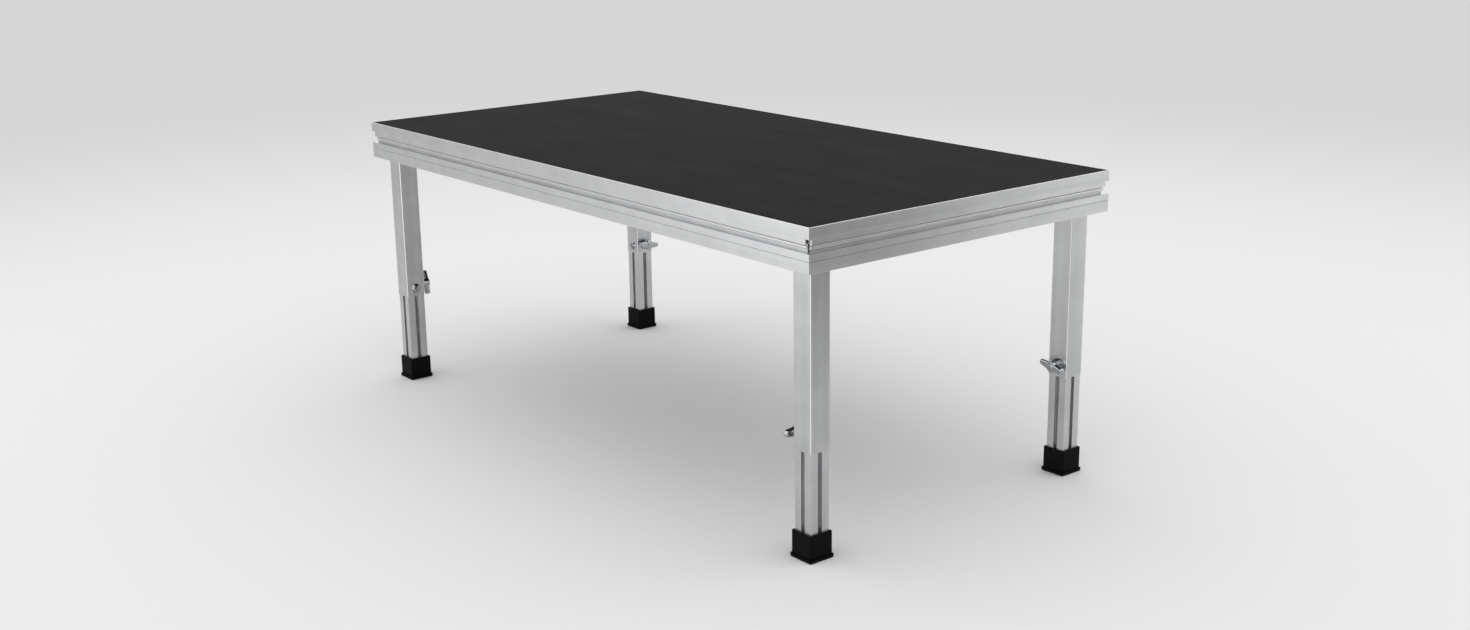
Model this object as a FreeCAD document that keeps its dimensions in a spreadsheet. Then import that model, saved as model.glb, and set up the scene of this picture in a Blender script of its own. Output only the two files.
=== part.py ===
import FreeCAD, Part
import math
import os
from types import SimpleNamespace

import Sketcher

# A stage riser deck, 2 m by 1 m, on four telescopic legs. Millimetres, +Z up. The origin is on
# the floor under the middle of the deck, X runs along the deck and Y across it.

doc = FreeCAD.newDocument("stage_riser")

# --- Driving dimensions ---------------------------------------------------------------------

DIMENSIONS = [
    ("deck_length", 2000.0, "outside length of the deck, along X"),
    ("deck_width", 1000.0, "outside width of the deck, along Y"),
    ("deck_height", 800.0, "top of the deck above the floor, as the legs are set"),
    ("rail_height", 105.0, "height of the edge rail"),
    ("rail_depth", 30.0, "depth of the edge rail, outer face to inner wall"),
    ("rail_wall", 3.0, "wall of the rail extrusion"),
    ("rail_round", 0.8, "rounding of the rail's outer edges"),
    ("lip_width", 2.0, "lip of the rail round the panel"),
    ("panel_thickness", 18.0, "plywood panel"),
    ("panel_gap", 0.5, "gap between the panel's edge and the lip"),
    ("recess_top", 27.5, "top of the rail's recess, below the deck top"),
    ("recess_depth", 6.0, "depth of the recess's upper floor"),
    ("slit_top", 42.5, "top of the slit below that floor"),
    ("slit_height", 2.0, "height of the slit"),
    ("slit_depth", 13.5, "depth of the slit"),
    ("bead_height", 8.5, "height of the rounded bead below the slit"),
    ("bead_rise", 3.5, "how far the bead stands out of the recess's lower floor"),
    ("channel_depth", 12.5, "depth of the recess's lower floor"),
    ("recess_bottom", 59.5, "bottom of the recess, below the deck top"),
    ("line_drop", 77.0, "scribed line, below the deck top"),
    ("line_width", 2.0, "width of the scribed line"),
    ("line_depth", 0.8, "depth of the scribed line"),
    ("entry_long", 19.5, "clamp entry at the front corner, along the long rail"),
    ("entry_short", 13.0, "clamp entry at the front corner, along the short rail"),
    ("entry_depth", 19.0, "depth of that entry, from the rails' outer faces"),
    ("cleat_arm", 80.0, "arm of a corner cleat, from the deck's corner"),
    ("upper_cleat_inset", 13.0, "clockwise outer side of an upper cleat, in from the rail's face"),
    ("cleat_gap", 0.1, "gap between a cleat and the rail's walls"),
    ("bearer_pitch", 500.0, "distance between cross bearers"),
    ("bearer_height", 50.0, "height of a cross bearer"),
    ("bearer_flange", 64.0, "width of a bearer's top flange"),
    ("bearer_sole", 36.0, "width of a bearer's bottom flange"),
    ("bearer_wall", 3.0, "thickness of a bearer's web and flanges"),
    ("bracket_leg", 40.0, "leg of an end bracket"),
    ("bracket_height", 38.0, "height of an end bracket"),
    ("bracket_wall", 4.0, "thickness of an end bracket"),
    ("bracket_bolt", 6.0, "diameter of a bracket bolt"),
    ("bracket_bolt_length", 14.0, "length of a bracket bolt under its head"),
    ("bolt_gap", 0.1, "radial clearance of a bolt in its hole"),
    ("panel_screw", 5.0, "diameter of a panel screw"),
    ("panel_screw_length", 15.0, "length of a panel screw under its head"),
    ("panel_screw_offset", 25.0, "panel screw, sideways from the bearer's web"),
    ("panel_screw_inset", 80.0, "end panel screw of a bearer, in from the rail's inner wall"),
    ("tube_size", 59.0, "outside of the outer leg tube"),
    ("tube_wall", 1.6, "wall of the outer leg tube"),
    ("tube_round", 2.5, "corner radius of the outer leg tube"),
    ("tube_bottom", 264.0, "lower end of the outer tube above the floor"),
    ("slide_gap", 0.25, "gap between the stem and the outer tube, each side"),
    ("socket_wall", 4.0, "wall of a leg socket"),
    ("socket_height", 85.0, "height of a leg socket"),
    ("socket_roof", 5.0, "roof of a leg socket"),
    ("socket_gap", 0.5, "gap between the leg tube and its socket, each side"),
    ("socket_ear", 28.0, "ear of a leg socket along the rail"),
    ("socket_bolt", 8.0, "diameter of a socket bolt"),
    ("socket_bolt_length", 14.0, "length of a socket bolt under its head"),
    ("socket_bolt_high", 22.0, "upper socket bolt, below the socket's top"),
    ("socket_bolt_low", 66.0, "lower socket bolt, below the socket's top"),
    ("seat_gap", 0.3, "gap between faces that move against each other"),
    ("hand_screw", 10.0, "diameter of the hand screw in a socket"),
    ("hand_screw_drop", 50.0, "hand screw's axis, below the socket's top"),
    ("boss_diameter", 22.0, "boss that holds the hand screw"),
    ("boss_length", 8.0, "length of that boss"),
    ("thread_gap", 0.08, "radial clearance of a turning screw"),
    ("star_diameter", 44.0, "star grip of the hand screw, over its lobes"),
    ("star_thickness", 18.0, "thickness of the star grip"),
    ("star_lobe", 15.0, "diameter of a lobe of the star grip"),
    ("star_neck", 20.0, "diameter of the star grip's neck"),
    ("star_neck_length", 8.0, "length of the star grip's neck"),
    ("plug_flange", 3.0, "flange of the leg tube's top plug"),
    ("plug_depth", 18.0, "how far the plug reaches down the tube"),
    ("plug_gap", 0.1, "gap between the plug and the tube's inside, each side"),
    ("stem_top", 542.0, "top of the stem above the floor"),
    ("stem_slot", 12.0, "mouth of a slot of the stem"),
    ("stem_lip", 5.0, "depth of a slot's mouth"),
    ("stem_slot_wide", 22.0, "width of a slot behind its mouth"),
    ("stem_slot_depth", 13.0, "whole depth of a slot"),
    ("stem_bore", 10.0, "bore along the middle of the stem"),
    ("stem_cell", 9.0, "square hollow along each corner of the stem"),
    ("stem_skin", 3.0, "wall outside that hollow"),
    ("cap_thickness", 6.0, "cap on the stem's top"),
    ("cap_spigot", 15.0, "length of the cap's spigot"),
    ("cap_gap", 0.1, "radial gap round that spigot"),
    ("nut_gap", 0.5, "gap between a slot nut and the slot's walls"),
    ("nut_inset", 0.6, "outer end of a slot nut, below the stem's face"),
    ("nut_length", 40.0, "length of a slot nut along the slot"),
    ("knob_height", 31.0, "wing knob's axis above the tube's lower end"),
    ("guide_height", 24.0, "guide screw's axis above the tube's lower end"),
    ("leg_stud", 8.0, "diameter of the knob's stud and of the guide screw"),
    ("stud_end_gap", 0.7, "gap between a stud's end and the slot's floor"),
    ("dome_diameter", 30.0, "head of the guide screw"),
    ("dome_height", 7.5, "height of that head"),
    ("knob_base", 36.0, "base of the wing knob's hub"),
    ("knob_base_height", 4.0, "straight part of that base"),
    ("knob_waist", 32.0, "diameter of the hub where the wings begin"),
    ("knob_wing_low", 14.0, "inner side of the wings, off the tube"),
    ("knob_wing_high", 29.0, "outer side of the wings, off the tube"),
    ("knob_span", 76.0, "wing knob from tip to tip"),
    ("knob_tip", 15.0, "width of a wing at its rounded tip"),
    ("knob_boss", 14.0, "diameter of the boss on the knob's front"),
    ("knob_length", 30.5, "front of that boss, off the tube"),
    ("foot_size", 66.0, "rubber foot, square body"),
    ("foot_height", 66.0, "height of the rubber foot"),
    ("foot_flange", 74.0, "rubber foot's flange"),
    ("foot_flange_height", 9.0, "height of that flange"),
    ("foot_floor", 10.0, "rubber under the stem"),
    ("foot_gap", 0.2, "gap between the stem and the foot's pocket, each side"),
    ("foot_round", 5.0, "corner radius of the rubber foot"),
]


class Size:
    """A length that knows both its value and the sheet expression that gives it."""

    def __init__(self, value, text):
        self.value = value
        self.text = text

    def joined(self, other, sign, value):
        return Size(value, "(" + self.text + " " + sign + " " + other.text + ")")

    def __add__(self, other):
        other = as_size(other)
        return self.joined(other, "+", self.value + other.value)

    def __sub__(self, other):
        other = as_size(other)
        return self.joined(other, "-", self.value - other.value)

    def __mul__(self, other):
        other = as_size(other)
        return self.joined(other, "*", self.value * other.value)

    def __truediv__(self, other):
        other = as_size(other)
        return self.joined(other, "/", self.value / other.value)

    def __rsub__(self, other):
        return as_size(other) - self

    def __neg__(self):
        return self * -1.0


def as_size(amount):
    if isinstance(amount, Size):
        return amount
    return Size(float(amount), "(" + repr(float(amount)) + ")")


def make_sheet():
    sheet = doc.addObject("Spreadsheet::Sheet", "Sizes")
    sizes = {}
    for row, (alias, value, note) in enumerate(DIMENSIONS, start=1):
        sheet.set("A" + str(row), note)
        sheet.set("B" + str(row), str(value))
        sheet.setAlias("B" + str(row), alias)
        sizes[alias] = Size(value, "Sizes." + alias)
    doc.recompute()
    return SimpleNamespace(**sizes)


size = make_sheet()
ZERO = as_size(0.0)

# Lengths that follow from the driving ones, and that more than one piece needs.
half_length = size.deck_length / 2
half_width = size.deck_width / 2
panel_underside = size.deck_height - size.panel_thickness
tube_half = size.tube_size / 2
tube_inside = size.tube_size - size.tube_wall * 2
stem_size = tube_inside - size.slide_gap * 2
stem_half = stem_size / 2
socket_inside = size.tube_size + size.socket_gap * 2
socket_half = socket_inside / 2 + size.socket_wall
ear_middle = socket_half + size.socket_ear / 2
leg_inset = size.rail_depth + socket_half
tube_top = panel_underside - size.socket_roof - size.seat_gap - size.plug_flange
stud_end = tube_half - size.tube_wall - size.slide_gap - size.stem_slot_depth + size.stud_end_gap
bearer_half = half_width - size.rail_depth - size.bolt_gap
panel_screw_reach = half_width - size.rail_depth - size.panel_screw_inset
bracket_bolt_offset = size.bracket_leg / 2 + size.bracket_wall / 2
slit_bottom = size.slit_top + size.slit_height
lower_chamber_top = size.recess_bottom + size.rail_wall

QUARTERS = range(4)
BEARERS = (-1, 0, 1)
PANEL_SCREW_STEPS = (-1, -1 / 3, 1 / 3, 1)

# Heads and nuts as shares of the thread's diameter.
HEX_ACROSS = 1.65
HEX_HEAD = 0.65
HEX_NUT = 0.8
PAN_ACROSS = 2.0
PAN_HEAD = 0.6

STAR_LOBES = 5

THROUGH = "ThroughAll"
BEYOND = as_size(5.0)


def turned(x, y, quarter):
    """The point x, y after that many quarter turns about Z."""
    for _ in range(quarter):
        x, y = -y, x
    return x, y


def leg_centre(quarter):
    """Leg 0 stands at +X, -Y, and the others follow anticlockwise from above."""
    x_sign = 1 if quarter in (0, 1) else -1
    y_sign = 1 if quarter in (1, 2) else -1
    return (half_length - leg_inset) * x_sign, (half_width - leg_inset) * y_sign


# --- Helpers for bodies, sketches and features -----------------------------------------------

def new_body(label):
    body = doc.addObject("PartDesign::Body", label)
    body.Label = label
    return body


def bind(feature, path, amount):
    feature.setExpression(path, as_size(amount).text)


def new_sketch(body, role, offset=ZERO):
    """A sketch on one of the body's own origin planes, moved along that plane's normal."""
    sketch = body.newObject("Sketcher::SketchObject", body.Label + "_sketch")
    planes = [item for item in body.Origin.OriginFeatures if item.Role == role]
    sketch.AttachmentSupport = [(planes[0], "")]
    sketch.MapMode = "FlatFace"
    if offset is not ZERO:
        bind(sketch, "AttachmentOffset.Base.z", offset)
    return sketch


def constrain(sketch, kind, where, amount):
    """Adds one dimension to a sketch and binds it to the sheet."""
    amount = as_size(amount)
    index = sketch.addConstraint(Sketcher.Constraint(kind, *where, amount.value))
    sketch.setExpression("Constraints[" + str(index) + "]", amount.text)


def clockwise_arc(start, end, radius):
    """The minor clockwise arc from start to end, as sketch geometry."""
    chord = end - start
    rise = math.sqrt(radius ** 2 - (chord.Length / 2) ** 2)
    side = FreeCAD.Vector(chord.y, -chord.x, 0).normalize()
    centre = start + chord * 0.5 + side * rise
    first = math.atan2(end.y - centre.y, end.x - centre.x)
    last = math.atan2(start.y - centre.y, start.x - centre.x)
    circle = Part.Circle(centre, FreeCAD.Vector(0, 0, 1), radius)
    return Part.ArcOfCircle(circle, first, last)


def outline(sketch, points):
    """A closed outline. A point is x, y, or x, y, radius where a clockwise arc leaves it."""
    count = len(points)
    base = sketch.GeometryCount
    spots = []
    for point in points:
        spots.append(FreeCAD.Vector(as_size(point[0]).value, as_size(point[1]).value, 0))
    ends = []
    for index, point in enumerate(points):
        start = spots[index]
        end = spots[(index + 1) % count]
        if len(point) == 3:
            sketch.addGeometry(clockwise_arc(start, end, as_size(point[2]).value))
            ends.append((2, 1))
        else:
            sketch.addGeometry(Part.LineSegment(start, end))
            ends.append((1, 2))
    for index in range(count):
        after = (index + 1) % count
        sketch.addConstraint(Sketcher.Constraint(
            "Coincident", base + index, ends[index][1], base + after, ends[after][0]))
    for index, point in enumerate(points):
        constrain(sketch, "DistanceX", (base + index, ends[index][0]), point[0])
        constrain(sketch, "DistanceY", (base + index, ends[index][0]), point[1])
        if len(point) == 3:
            constrain(sketch, "Radius", (base + index,), point[2])


def square(sketch, half):
    outline(sketch, [turned(half, -half, quarter) for quarter in QUARTERS])


def circle(sketch, x, y, diameter):
    x = as_size(x)
    y = as_size(y)
    diameter = as_size(diameter)
    centre = FreeCAD.Vector(x.value, y.value, 0)
    index = sketch.addGeometry(Part.Circle(centre, FreeCAD.Vector(0, 0, 1), diameter.value / 2))
    constrain(sketch, "DistanceX", (index, 3), x)
    constrain(sketch, "DistanceY", (index, 3), y)
    constrain(sketch, "Diameter", (index,), diameter)


def hexagon(sketch, across_flats):
    """A hexagon about the origin, two of its flats level."""
    corner = across_flats / math.sqrt(3)
    points = []
    for step in range(6):
        angle = math.radians(60 * step)
        points.append((corner * math.cos(angle), corner * math.sin(angle)))
    outline(sketch, points)


def extrude(kind, body, sketch, length, way="along"):
    """A Pad or Pocket. way is along its own direction, against it, or both."""
    feature = body.newObject("PartDesign::" + kind, body.Label + "_" + kind.lower())
    feature.Profile = (sketch, [""])
    if length is THROUGH:
        feature.Type = THROUGH
    else:
        bind(feature, "Length", length)
    feature.Reversed = way == "against"
    if way == "both":
        feature.SideType = "Symmetric"
    return feature


def pad(body, sketch, length, way="along"):
    return extrude("Pad", body, sketch, length, way)


def pocket(body, sketch, length, way="along"):
    return extrude("Pocket", body, sketch, length, way)


def revolve(body, sketch):
    feature = body.newObject("PartDesign::Revolution", body.Label + "_turned")
    feature.Profile = (sketch, [""])
    feature.ReferenceAxis = (sketch, ["V_Axis"])
    feature.Angle = 360
    return feature


def soften(body, feature, radius, chosen):
    """Fillets the edges of a feature that chosen accepts."""
    doc.recompute()
    names = []
    for number, edge in enumerate(feature.Shape.Edges, start=1):
        if chosen(edge):
            names.append("Edge" + str(number))
    fillet = body.newObject("PartDesign::Fillet", body.Label + "_fillet")
    fillet.Base = (feature, names)
    bind(fillet, "Radius", radius)
    return fillet


def is_upright(edge):
    box = edge.BoundBox
    return box.XLength < 0.01 and box.YLength < 0.01


def place(body, x, y, z, rotation=FreeCAD.Rotation()):
    body.Placement = FreeCAD.Placement(FreeCAD.Vector(0, 0, 0), rotation)
    bind(body, "Placement.Base.x", x)
    bind(body, "Placement.Base.y", y)
    bind(body, "Placement.Base.z", z)


def about_z(degrees):
    return FreeCAD.Rotation(FreeCAD.Vector(0, 0, 1), degrees)


def facing(direction):
    """Turns +Z to that direction, with the piece's own +Y kept upright."""
    return FreeCAD.Rotation(FreeCAD.Vector(), FreeCAD.Vector(0, 0, 1), direction, "ZYX")


def place_on_leg(body, quarter, x, y, z, rotation=FreeCAD.Rotation()):
    """Puts a piece at a point of a leg's own frame, which has its corner at +X, -Y."""
    centre_x, centre_y = leg_centre(quarter)
    local_x, local_y = turned(as_size(x), as_size(y), quarter)
    turn = about_z(90 * quarter).multiply(rotation)
    place(body, centre_x + local_x, centre_y + local_y, z, turn)


def group(label, templates, placements):
    """Like pieces as separate solids of one node, copied from the template bodies."""
    doc.recompute()
    copies = []
    for template in templates:
        for placement in placements:
            copy = template.Shape.copy()
            copy.Placement = placement.multiply(template.Placement)
            copies.append(copy)
    feature = doc.addObject("Part::Feature", label)
    feature.Label = label
    feature.Shape = Part.makeCompound(copies)
    feature.Placement = FreeCAD.Placement()
    return feature


def spot(x, y, z, rotation=FreeCAD.Rotation()):
    values = [as_size(amount).value for amount in (x, y, z)]
    return FreeCAD.Placement(FreeCAD.Vector(*values), rotation)


OUTWARD_X = FreeCAD.Vector(1, 0, 0)
OUTWARD_Y = FreeCAD.Vector(0, 1, 0)


# --- Deck -----------------------------------------------------------------------------------

def panel_screw_places():
    """Where the panel screws stand, seen from above."""
    places = []
    for bearer in BEARERS:
        for side in (-1, 1):
            for step in PANEL_SCREW_STEPS:
                x = size.bearer_pitch * bearer + size.panel_screw_offset * side
                places.append((x, panel_screw_reach * step))
    return places


def make_panel():
    """The plywood panel lies on the rails' ledges and the bearers, flush with the lips."""
    body = new_body("deck_panel")
    sketch = new_sketch(body, "XY_Plane")
    margin = size.lip_width + size.panel_gap
    x = half_length - margin
    y = half_width - margin
    outline(sketch, [(-x, -y), (x, -y), (x, y), (-x, y)])
    pad(body, sketch, size.panel_thickness)
    holes = new_sketch(body, "XY_Plane")
    for hole_x, hole_y in panel_screw_places():
        circle(holes, hole_x, hole_y, size.panel_screw + size.bolt_gap * 2)
    depth = size.panel_screw_length - size.bearer_wall + size.bolt_gap
    pocket(body, holes, depth, "against")
    place(body, ZERO, ZERO, panel_underside)
    return body


def rail_outline(sketch):
    """The rail's section: inward along the sketch's first axis, up along its second."""
    bead_top = slit_bottom
    bead_bottom = bead_top + size.bead_height
    bead_radius = (size.bead_height * size.bead_height / 8 / size.bead_rise
                   + size.bead_rise / 2)
    line_top = size.line_drop - size.line_width / 2
    line_bottom = size.line_drop + size.line_width / 2
    outline(sketch, [
        (ZERO, -size.rail_round, size.rail_round),
        (size.rail_round, ZERO),
        (size.lip_width, ZERO),
        (size.lip_width, -size.panel_thickness),
        (size.rail_depth, -size.panel_thickness),
        (size.rail_depth, -size.rail_height),
        (size.rail_round, -size.rail_height, size.rail_round),
        (ZERO, size.rail_round - size.rail_height),
        (ZERO, -line_bottom),
        (size.line_depth, -size.line_drop),
        (ZERO, -line_top),
        (ZERO, -size.recess_bottom),
        (size.channel_depth, -size.recess_bottom),
        (size.channel_depth, -bead_bottom, bead_radius),
        (size.channel_depth, -bead_top),
        (size.slit_depth, -bead_top),
        (size.slit_depth, -size.slit_top),
        (size.recess_depth, -size.slit_top),
        (size.recess_depth, -size.recess_top),
        (ZERO, -size.recess_top),
    ])


def rail_chambers(sketch):
    """The two hollows of the rail's section."""
    wall = size.rail_wall
    front = size.recess_depth + wall
    behind_slit = size.slit_depth + wall
    back = size.rail_depth - wall
    upper_top = size.panel_thickness + wall
    shoulder = size.slit_top - wall
    outline(sketch, [
        (front, -upper_top),
        (back, -upper_top),
        (back, -size.recess_bottom),
        (behind_slit, -size.recess_bottom),
        (behind_slit, -shoulder),
        (front, -shoulder),
    ])
    outline(sketch, [
        (wall, -lower_chamber_top),
        (back, -lower_chamber_top),
        (back, wall - size.rail_height),
        (wall, wall - size.rail_height),
    ])


def cut_mitres(body, half):
    """Cuts both ends of a rail at 45 degrees, inwards from its outer corners."""
    reach = size.rail_depth + BEYOND
    sketch = new_sketch(body, "XY_Plane", BEYOND)
    for sign in (-1, 1):
        end = half * sign
        outline(sketch, [
            (end + BEYOND * sign, -BEYOND),
            (end + BEYOND * sign, reach),
            (end - reach * sign, reach),
        ])
    pocket(body, sketch, THROUGH)


def cut_entry(body, corner, inward, length):
    """Opens the recess at a corner, so that clamps can be slid into it."""
    sketch = new_sketch(body, "XY_Plane", -size.recess_top)
    far = corner + length * inward
    near = corner - BEYOND * inward
    outline(sketch, [(near, -BEYOND), (far, -BEYOND), (far, size.entry_depth),
                     (near, size.entry_depth)])
    pocket(body, sketch, size.recess_bottom - size.recess_top)


def drill_rail(body, half, with_bearers):
    """Holes in the rail's inner wall for the socket bolts and the bearers' bracket bolts."""
    sketch = new_sketch(body, "XZ_Plane", -size.rail_depth)
    hole = size.socket_bolt + size.bolt_gap * 2
    for sign in (-1, 1):
        x = (half - leg_inset - ear_middle) * sign
        for drop in (size.socket_bolt_high, size.socket_bolt_low):
            circle(sketch, x, -(size.panel_thickness + drop), hole)
    if with_bearers:
        z = -(size.panel_thickness + size.bearer_height / 2)
        for bearer in BEARERS:
            x = size.bearer_pitch * bearer + bracket_bolt_offset
            circle(sketch, x, z, size.bracket_bolt + size.bolt_gap * 2)
    pocket(body, sketch, size.rail_wall + size.bolt_gap, "against")


def make_rail(label, quarter, along, across):
    """A rail runs along its own X with its outer face at -Y, and is turned to its side."""
    body = new_body(label)
    section = new_sketch(body, "YZ_Plane")
    rail_outline(section)
    rail_chambers(section)
    pad(body, section, along * 2, "both")
    cut_mitres(body, along)
    if quarter == 0:
        cut_entry(body, along, -1, size.entry_long)
    if quarter == 1:
        cut_entry(body, -along, 1, size.entry_short)
    drill_rail(body, along, quarter in (0, 2))
    x, y = turned(ZERO, -across, quarter)
    place(body, x, y, size.deck_height, about_z(90 * quarter))
    return body


def make_bearer(label, step):
    """An I-section across the deck, its top flange under the panel."""
    body = new_body(label)
    section = new_sketch(body, "XZ_Plane")
    top = size.bearer_flange / 2
    web = size.bearer_wall / 2
    sole = size.bearer_sole / 2
    under_top = -size.bearer_wall
    over_sole = size.bearer_wall - size.bearer_height
    outline(section, [
        (-top, ZERO),
        (top, ZERO),
        (top, under_top),
        (web, under_top),
        (web, over_sole),
        (sole, over_sole),
        (sole, -size.bearer_height),
        (-sole, -size.bearer_height),
        (-sole, over_sole),
        (-web, over_sole),
        (-web, under_top),
        (-top, under_top),
    ])
    pad(body, section, bearer_half * 2, "both")
    holes = new_sketch(body, "XY_Plane", BEYOND)
    for side in (-1, 1):
        for place_step in PANEL_SCREW_STEPS:
            circle(holes, size.panel_screw_offset * side, panel_screw_reach * place_step,
                   size.panel_screw + size.bolt_gap * 2)
    pocket(body, holes, THROUGH)
    web_holes = new_sketch(body, "YZ_Plane", size.bearer_wall)
    for side in (-1, 1):
        y = (bearer_half - bracket_bolt_offset) * side
        circle(web_holes, y, -size.bearer_height / 2, size.bracket_bolt + size.bolt_gap * 2)
    pocket(body, web_holes, size.bearer_wall * 2)
    place(body, size.bearer_pitch * step, ZERO, panel_underside)
    return body


def cleat_template(label, near_x, near_y, top, bottom):
    """An L-shaped cleat, its outer sides that far in from the two rails' outer faces."""
    body = new_body(label)
    far = size.rail_depth - size.rail_wall - size.cleat_gap
    arm = size.cleat_arm
    sketch = new_sketch(body, "XY_Plane", size.deck_height - bottom)
    outline(sketch, [(-near_x, near_y), (-near_x, arm), (-far, arm), (-far, far), (-arm, far),
                     (-arm, near_y)])
    pad(body, sketch, bottom - top)
    return body


def make_cleats():
    """Cleats in the rails' upper and lower hollows hold the four mitres."""
    lower_inset = size.rail_wall + size.cleat_gap
    lower = cleat_template("lower_cleat", lower_inset, lower_inset,
                           lower_chamber_top + size.cleat_gap,
                           size.rail_height - size.rail_wall - size.cleat_gap)
    upper = cleat_template("upper_cleat", size.recess_depth + size.rail_wall + size.cleat_gap,
                           size.upper_cleat_inset,
                           size.panel_thickness + size.rail_wall + size.cleat_gap,
                           size.slit_top - size.rail_wall - size.cleat_gap)
    placements = []
    for quarter in QUARTERS:
        centre_x, centre_y = leg_centre(quarter)
        x, y = turned(leg_inset, -leg_inset, quarter)
        placements.append(spot(centre_x + x, centre_y + y, ZERO, about_z(90 * quarter)))
    return group("corner_cleats", (lower, upper), placements)


def bearer_ends():
    """Both ends of every bearer, as x, y and the bracket's turn."""
    ends = []
    for bearer in BEARERS:
        x = size.bearer_pitch * bearer
        ends.append((x, -(half_width - size.rail_depth), 0))
        ends.append((x, half_width - size.rail_depth, 180))
    return ends


def make_brackets():
    """An angle bracket joins each bearer's web to the rail."""
    template = new_body("bracket_template")
    web = size.bearer_wall / 2
    leg = size.bracket_leg
    wall = size.bracket_wall
    sketch = new_sketch(template, "XY_Plane")
    outline(sketch, [(web, ZERO), (web + leg, ZERO), (web + leg, wall), (web + wall, wall),
                     (web + wall, leg), (web, leg)])
    pad(template, sketch, size.bracket_height, "both")
    hole = size.bracket_bolt + size.bolt_gap * 2
    rail_hole = new_sketch(template, "XZ_Plane", BEYOND)
    circle(rail_hole, bracket_bolt_offset, ZERO, hole)
    pocket(template, rail_hole, BEYOND + wall + size.bolt_gap)
    web_hole = new_sketch(template, "YZ_Plane")
    circle(web_hole, bracket_bolt_offset + size.bolt_gap, ZERO, hole)
    pocket(template, web_hole, web + wall + size.bolt_gap, "against")
    z = panel_underside - size.bearer_height / 2
    placements = [spot(x, y, z, about_z(turn)) for x, y, turn in bearer_ends()]
    return group("bearer_brackets", (template,), placements)


def hex_bolt(label, diameter, length):
    """A hexagon bolt on its own Z axis, its head above the origin and its shank below."""
    body = new_body(label)
    head = new_sketch(body, "XY_Plane")
    hexagon(head, diameter * HEX_ACROSS)
    pad(body, head, diameter * HEX_HEAD)
    shank = new_sketch(body, "XY_Plane")
    circle(shank, ZERO, ZERO, diameter)
    pad(body, shank, length, "against")
    return body


def web_bolt_places(side_offset):
    """The bolts through the bearers' webs, off the web's middle, heads away from it."""
    places = []
    z = panel_underside - size.bearer_height / 2
    for x, y, turn in bearer_ends():
        inward = 1 if turn == 0 else -1
        reach = bracket_bolt_offset + size.bolt_gap
        direction = FreeCAD.Vector(inward, 0, 0)
        places.append((x + side_offset * inward, y + reach * inward, z, direction))
    return places


def make_bracket_bolts():
    """One bolt through each bracket into the rail's inner wall, one through the bearer's web."""
    template = hex_bolt("bracket_bolt_template", size.bracket_bolt, size.bracket_bolt_length)
    placements = []
    z = panel_underside - size.bearer_height / 2
    for x, y, turn in bearer_ends():
        inward = 1 if turn == 0 else -1
        placements.append(spot(x + bracket_bolt_offset * inward, y + size.bracket_wall * inward,
                               z, facing(FreeCAD.Vector(0, inward, 0))))
    head_offset = size.bearer_wall / 2 + size.bracket_wall
    for x, y, z, direction in web_bolt_places(head_offset):
        placements.append(spot(x, y, z, facing(direction)))
    return group("bracket_bolts", (template,), placements)


def make_bracket_nuts():
    """The nuts of the web bolts, on the web's other side."""
    template = new_body("bracket_nut_template")
    sketch = new_sketch(template, "XY_Plane")
    hexagon(sketch, size.bracket_bolt * HEX_ACROSS)
    circle(sketch, ZERO, ZERO, size.bracket_bolt + size.bolt_gap * 2)
    pad(template, sketch, size.bracket_bolt * HEX_NUT, "against")
    placements = []
    for x, y, z, direction in web_bolt_places(-size.bearer_wall / 2):
        placements.append(spot(x, y, z, facing(direction)))
    return group("bracket_nuts", (template,), placements)


def make_panel_screws():
    """Pan-head screws up through the bearers' top flanges into the panel."""
    template = new_body("panel_screw_template")
    head = new_sketch(template, "XY_Plane")
    circle(head, ZERO, ZERO, size.panel_screw * PAN_ACROSS)
    pad(template, head, size.panel_screw * PAN_HEAD, "against")
    shank = new_sketch(template, "XY_Plane")
    circle(shank, ZERO, ZERO, size.panel_screw)
    pad(template, shank, size.panel_screw_length)
    z = panel_underside - size.bearer_wall
    placements = [spot(x, y, z) for x, y in panel_screw_places()]
    return group("panel_screws", (template,), placements)


# --- Leg sockets ----------------------------------------------------------------------------

def make_socket(quarter):
    """A sleeve with a roof, two ears on the rails and a boss for the hand screw."""
    body = new_body("leg_socket_" + str(quarter + 1))
    outer = socket_half
    wall = size.socket_wall
    tip = outer + size.socket_ear
    section = new_sketch(body, "XY_Plane")
    outline(section, [(-tip, -outer), (outer, -outer), (outer, tip), (outer - wall, tip),
                      (outer - wall, outer), (-outer, outer), (-outer, wall - outer),
                      (-tip, wall - outer)])
    pad(body, section, size.socket_height, "against")
    cavity = new_sketch(body, "XY_Plane", -size.socket_roof)
    square(cavity, socket_inside / 2)
    pocket(body, cavity, size.socket_height)
    boss = new_sketch(body, "XZ_Plane", -outer + wall / 2)
    circle(boss, ZERO, -size.hand_screw_drop, size.boss_diameter)
    pad(body, boss, wall / 2 + size.boss_length, "against")
    bore = new_sketch(body, "XZ_Plane")
    circle(bore, ZERO, -size.hand_screw_drop, size.hand_screw + size.thread_gap * 2)
    pocket(body, bore, THROUGH)
    hole = size.socket_bolt + size.bolt_gap * 2
    for role, sign in (("XZ_Plane", -1), ("YZ_Plane", 1)):
        holes = new_sketch(body, role)
        for drop in (size.socket_bolt_high, size.socket_bolt_low):
            circle(holes, ear_middle * sign, -drop, hole)
        pocket(body, holes, THROUGH, "against")
    place_on_leg(body, quarter, ZERO, ZERO, panel_underside)
    return body


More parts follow.
